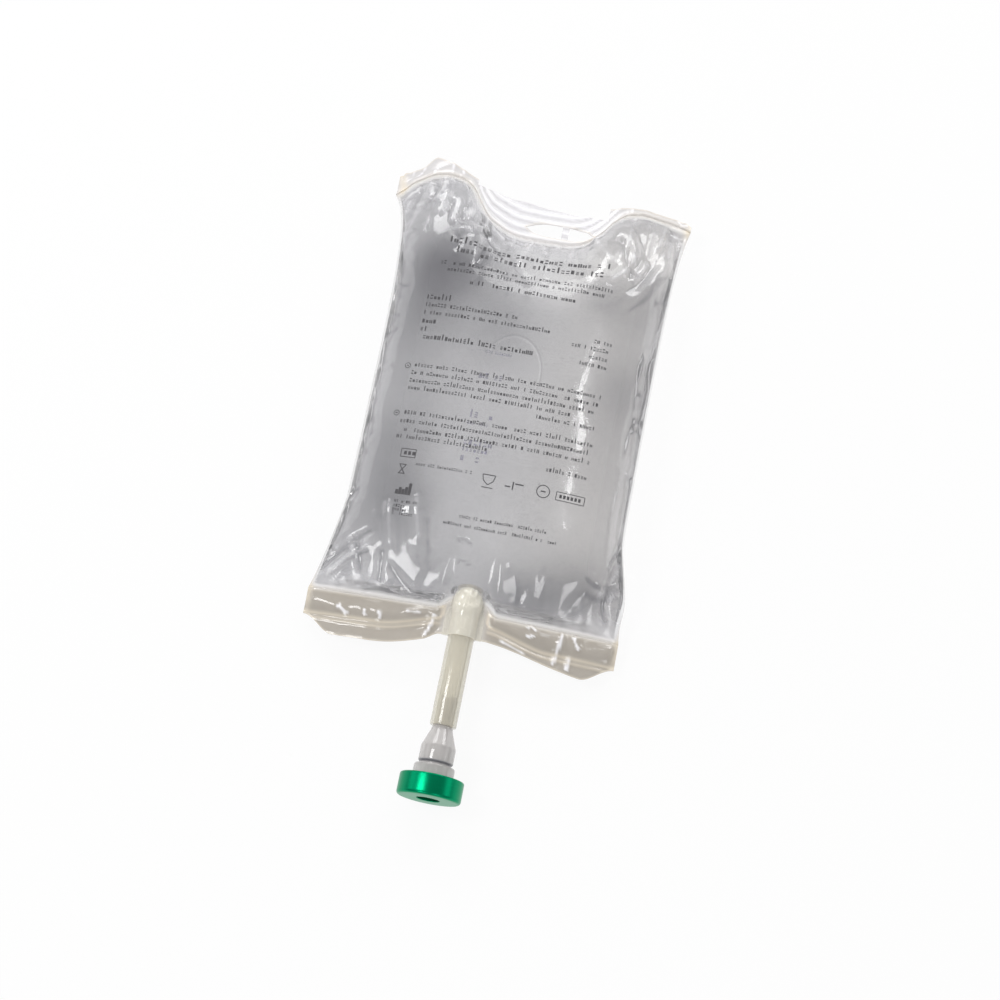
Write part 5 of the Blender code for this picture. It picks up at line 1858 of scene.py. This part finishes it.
def rounded(points: Sequence[Triple], steps: int = 5) -> Line:
    """Rounds the corners of a profile.

    Args:
        points: Radius, station and rounding of each corner, in millimetres.
        steps: Points on each rounded corner.

    Returns:
        The profile in metres. Its first and last corner are rounded only if it is used closed.
    """
    out: list[Point] = []
    count = len(points)
    for k, (radius, station, ease) in enumerate(points):
        here = np.array((radius, station))
        if ease <= 0.0:
            out.append((radius * MM, station * MM))
            continue
        before = np.array(points[(k - 1) % count][:2]) - here
        after = np.array(points[(k + 1) % count][:2]) - here
        far_before, far_after = np.hypot(*before), np.hypot(*after)
        reach = min(ease, far_before * CORNER_SHARE, far_after * CORNER_SHARE)
        start = here + before / far_before * reach
        end = here + after / far_after * reach
        for t in np.linspace(0.0, 1.0, steps):
            place = (1 - t) ** 2 * start + 2 * t * (1 - t) * here + t * t * end
            out.append((float(place[0]) * MM, float(place[1]) * MM))
    return tuple(out)


@dataclass(frozen=True)
class PortSet:
    """The tube, adapter, stopper, cap and the fluid in them, on one axis.

    Sizes are millimetres: pairs of radius and distance down the port from the bottom weld.
    """

    tube: tuple = ((5.55, 49.2, 0.5), (5.55, -11.0, 0.5), (4.0, -11.0, 0.2), (4.0, 49.2, 0.2))
    adapter: tuple = (
        (5.5, 74.5, 0.0), (12.0, 74.5, 0.3), (12.0, 71.6, 0.3), (8.6, 71.6, 0.2), (8.6, 66.8, 0.0),
        (8.3, 66.0, 0.3), (6.6, 66.0, 0.2), (6.6, 65.2, 0.2), (7.3, 64.4, 0.3), (7.3, 58.2, 0.8),
        (6.8, 56.9, 1.0), (4.75, 51.6, 1.2), (4.4, 50.4, 0.5), (4.4, 49.5, 0.1), (3.7, 49.5, 0.1),
        (3.7, 37.6, 0.3), (2.6, 37.2, 0.2), (2.6, 57.2, 0.3), (5.5, 57.2, 0.8),
    )
    stopper: tuple = (
        (0.0, 77.8, 0.0), (1.1, 77.8, 0.3), (1.5, 77.3, 0.2), (5.0, 77.3, 0.3), (5.6, 79.1, 0.3),
        (12.0, 79.1, 0.3), (12.0, 75.1, 0.3), (5.2, 75.1, 0.3), (5.2, 70.9, 0.6), (4.4, 70.1, 0.4),
        (0.0, 70.1, 0.0),
    )
    cap: tuple = (
        (4.9, 79.7, 0.25), (5.1, 79.9, 0.3), (13.4, 79.9, 1.5), (13.4, 70.8, 0.8), (8.9, 70.8, 0.2),
        (8.9, 71.3, 0.0), (12.9, 71.3, 0.3), (12.9, 79.4, 0.8), (5.4, 79.4, 0.2), (5.4, 78.1, 0.0),
        (4.9, 78.1, 0.0),
    )
    fluid: tuple = (
        (0.0, -10.0, 0.0), (3.7, -10.0, 0.3), (3.7, 36.9, 0.3), (2.3, 36.9, 0.1), (2.3, 57.5, 0.2),
        (5.2, 57.5, 0.8), (5.2, 69.8, 0.3), (0.0, 69.8, 0.0),
    )
    # Place and half width along Y of the painted shade in the adapter's groove.
    groove: Point = (-0.12746, 0.0007)
    fluid_level: float = 0.95

    def make(self) -> list[Object]:
        """Builds the pieces from the weld outwards."""
        hard = HazyPlasticFinish(
            "clear_hard_plastic", colour=(0.565, 0.545, 0.535, 1.0), through=(0.95, 0.94, 0.94, 1.0),
            haze=0.58, rim=0.3, roughness=0.08, ior=1.52, grain=120.0, grain_depth=0.00002,
            groove=self.groove,
        )
        soft, rubber, anodised = HazyPlasticFinish("soft_hazy_tube"), RubberFinish(), AnodisedFinish()
        water = WaterFinish("port_saline", level=self.fluid_level)
        rows = (
            ("soft_port_tube", "port_tube", "soft_tube", rounded(self.tube), True, soft),
            ("moulded_adapter", "port_adapter", "clear_plastic", rounded(self.adapter), True, hard),
            ("rubber_plug", "rubber_stopper", "grey_rubber", rounded(self.stopper), False, rubber),
            ("green_cap", "crimp_cap", "green_aluminium", rounded(self.cap, 8), True, anodised),
            ("saline_in_port", "", "saline", rounded(self.fluid), False, water),
        )
        return [TurnedPiece(*sizes).make(finish) for *sizes, finish in rows]


@dataclass(frozen=True)
class Lamp:
    """A soft box that points at the bag."""

    name: str
    way: Triple
    far: float
    size: Point
    radiance: float
    roll: float = 0.0

    def make(self, aim: Vector) -> Object:
        """Hangs the lamp."""
        lamp = bpy.data.lights.new(self.name, "AREA")
        lamp.shape = "RECTANGLE"
        lamp.size, lamp.size_y = self.size
        lamp.energy = self.radiance * math.pi * self.size[0] * self.size[1]
        thing = linked(self.name, lamp)
        way = Vector(self.way).normalized()
        thing.location = aim + way * self.far
        thing.rotation_mode = "QUATERNION"
        turn = Quaternion((0.0, 0.0, 1.0), math.radians(self.roll))
        thing.rotation_quaternion = way.to_track_quat("Z", "Y") @ turn
        return thing


@dataclass(frozen=True)
class Studio:
    """Pale table, soft lamps and the camera."""

    aim: Triple = (0.0054, -0.00766, 0.0)
    azimuth: float = 11.0
    elevation: float = 73.0
    distance: float = 0.9
    lens: float = 75.0
    sensor: float = 36.0
    ambient: float = 0.39
    table_size: float = 6.0
    table_white: float = 0.82
    table_glow: float = 0.92
    shadow_reach: float = 0.6
    lamps: tuple[Lamp, ...] = (
        Lamp("left_key", (-0.60, -0.01, 1.02), 1.16, (0.20, 0.38), 13.0),
        Lamp("right_strip", (0.285, 0.41, 1.08), 1.20, (0.036, 0.125), 12.0, 72.0),
        Lamp("front_left_box", (-0.50, -0.95, 0.80), 1.25, (0.36, 0.30), 7.0),
        Lamp("front_right_box", (0.50, -0.95, 0.80), 1.25, (0.30, 0.26), 4.5),
        Lamp("back_left_box", (-0.52, 0.80, 0.62), 1.25, (0.44, 0.40), 5.5),
        Lamp("back_right_box", (0.50, 0.80, 0.62), 1.25, (0.36, 0.40), 5.5),
        Lamp("back_fill", (0.00, 0.90, 0.70), 1.40, (1.20, 0.60), 1.8),
        Lamp("left_side_box", (-0.95, 0.20, 0.42), 1.20, (0.90, 0.45), 1.1),
        Lamp("right_side_box", (0.95, 0.20, 0.42), 1.20, (0.90, 0.45), 1.1),
    )

    def make_camera(self) -> None:
        """Sets the camera where the photograph was taken from."""
        data = bpy.data.cameras.new("camera")
        data.lens, data.sensor_width = self.lens, self.sensor
        camera = linked("camera", data)
        a, e = math.radians(self.azimuth), math.radians(self.elevation)
        back = Vector((math.sin(a) * math.cos(e), -math.cos(a) * math.cos(e), math.sin(e)))
        camera.location = Vector(self.aim) + back * self.distance
        camera.rotation_mode = "QUATERNION"
        camera.rotation_quaternion = (-back).to_track_quat("-Z", "Y")
        bpy.context.scene.camera = camera

    def make_world(self) -> None:
        """Plain soft light all round, white where the camera sees it."""
        world = bpy.data.worlds.new("soft_studio")
        world.use_nodes = True
        bpy.context.scene.world = world
        tree = Tree(world.node_tree)
        path = tree.node("ShaderNodeLightPath")
        level = self.ambient + tree.value(path, "Is Camera Ray") * (1.0 - self.ambient)
        sky = tree.out("ShaderNodeBackground", {"Color": WHITE, "Strength": level})
        tree.node("ShaderNodeOutputWorld", None, {"Surface": sky})

    def table_finish(self) -> Material:
        """White table that the camera sees as plain white with the bag's soft shadow."""
        made = bpy.data.materials.new("white_table")
        made.use_nodes = True
        tree = Tree(made.node_tree)
        path = tree.node("ShaderNodeLightPath")
        white = tree.out("ShaderNodeEmission", {"Color": WHITE, "Strength": 1.0})
        lit = tree.out("ShaderNodeBsdfDiffuse", {"Color": (self.table_white,) * 3 + (1.0,)})
        by_camera, by_clear, by_gloss = (
            tree.value(path, f"Is {kind} Ray") for kind in ("Camera", "Transmission", "Glossy")
        )
        seen = by_camera.at_least(by_clear).at_least(by_gloss)
        x, y, _ = tree.axes()
        far = ((x * x + y * y).root() * (1.0 / self.shadow_reach) - 0.5).unit()
        glow = far * (1.0 - self.table_glow) + self.table_glow
        tree.finish(tree.mixed_shader(seen * glow, lit, white))
        return made

    def make(self) -> None:
        """Sets the whole studio."""
        aim = Vector(self.aim)
        for lamp in self.lamps:
            lamp.make(aim)
        self.make_world()
        mesh = bpy.data.meshes.new("table")
        half = self.table_size / 2.0
        corners = [(x * half, y * half, 0.0) for x, y in ((-1, -1), (1, -1), (1, 1), (-1, 1))]
        mesh.from_pydata(corners, [], [(0, 1, 2, 3)])
        mesh.materials.append(self.table_finish())
        table = linked("table", mesh)
        self.make_camera()
        bpy.context.scene.view_settings.view_transform = "Standard"


def report(piece: Object) -> None:
    """Logs a finished piece and its size."""
    piece.data.calc_loop_triangles()
    size = tuple(round(v, 4) for v in piece.dimensions)
    log.info("%s: %d triangles, %s m", piece.name, len(piece.data.loop_triangles), size)


def main() -> None:
    """Builds every piece around the frame."""
    logging.basicConfig(level=logging.INFO, format="%(name)s: %(message)s")
    for thing in list(bpy.data.objects):
        bpy.data.objects.remove(thing, do_unlink=True)
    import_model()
    form = BagForm()
    relief = Relief(form)
    film = FilmBag(form, relief).make()
    report(film)
    report(PortSleeve(form).make())
    fill = SalineFill(form, relief).make()
    report(fill)
    report(Print("front_print", film, PRINT_LINES, InkFinish(), with_signs=True).make())
    stamp = InkFinish("stamp_ink", (0.12, 0.09, 0.32, 1.0), 0.55)
    report(Print("back_stamp", fill, STAMP_LINES, stamp, from_above=False, lift=0.0003, seed=70).make())
    for piece in PortSet().make():
        report(piece)
    Studio().make()
    bpy.context.view_layer.update()


if __name__ == "__main__":
    main()
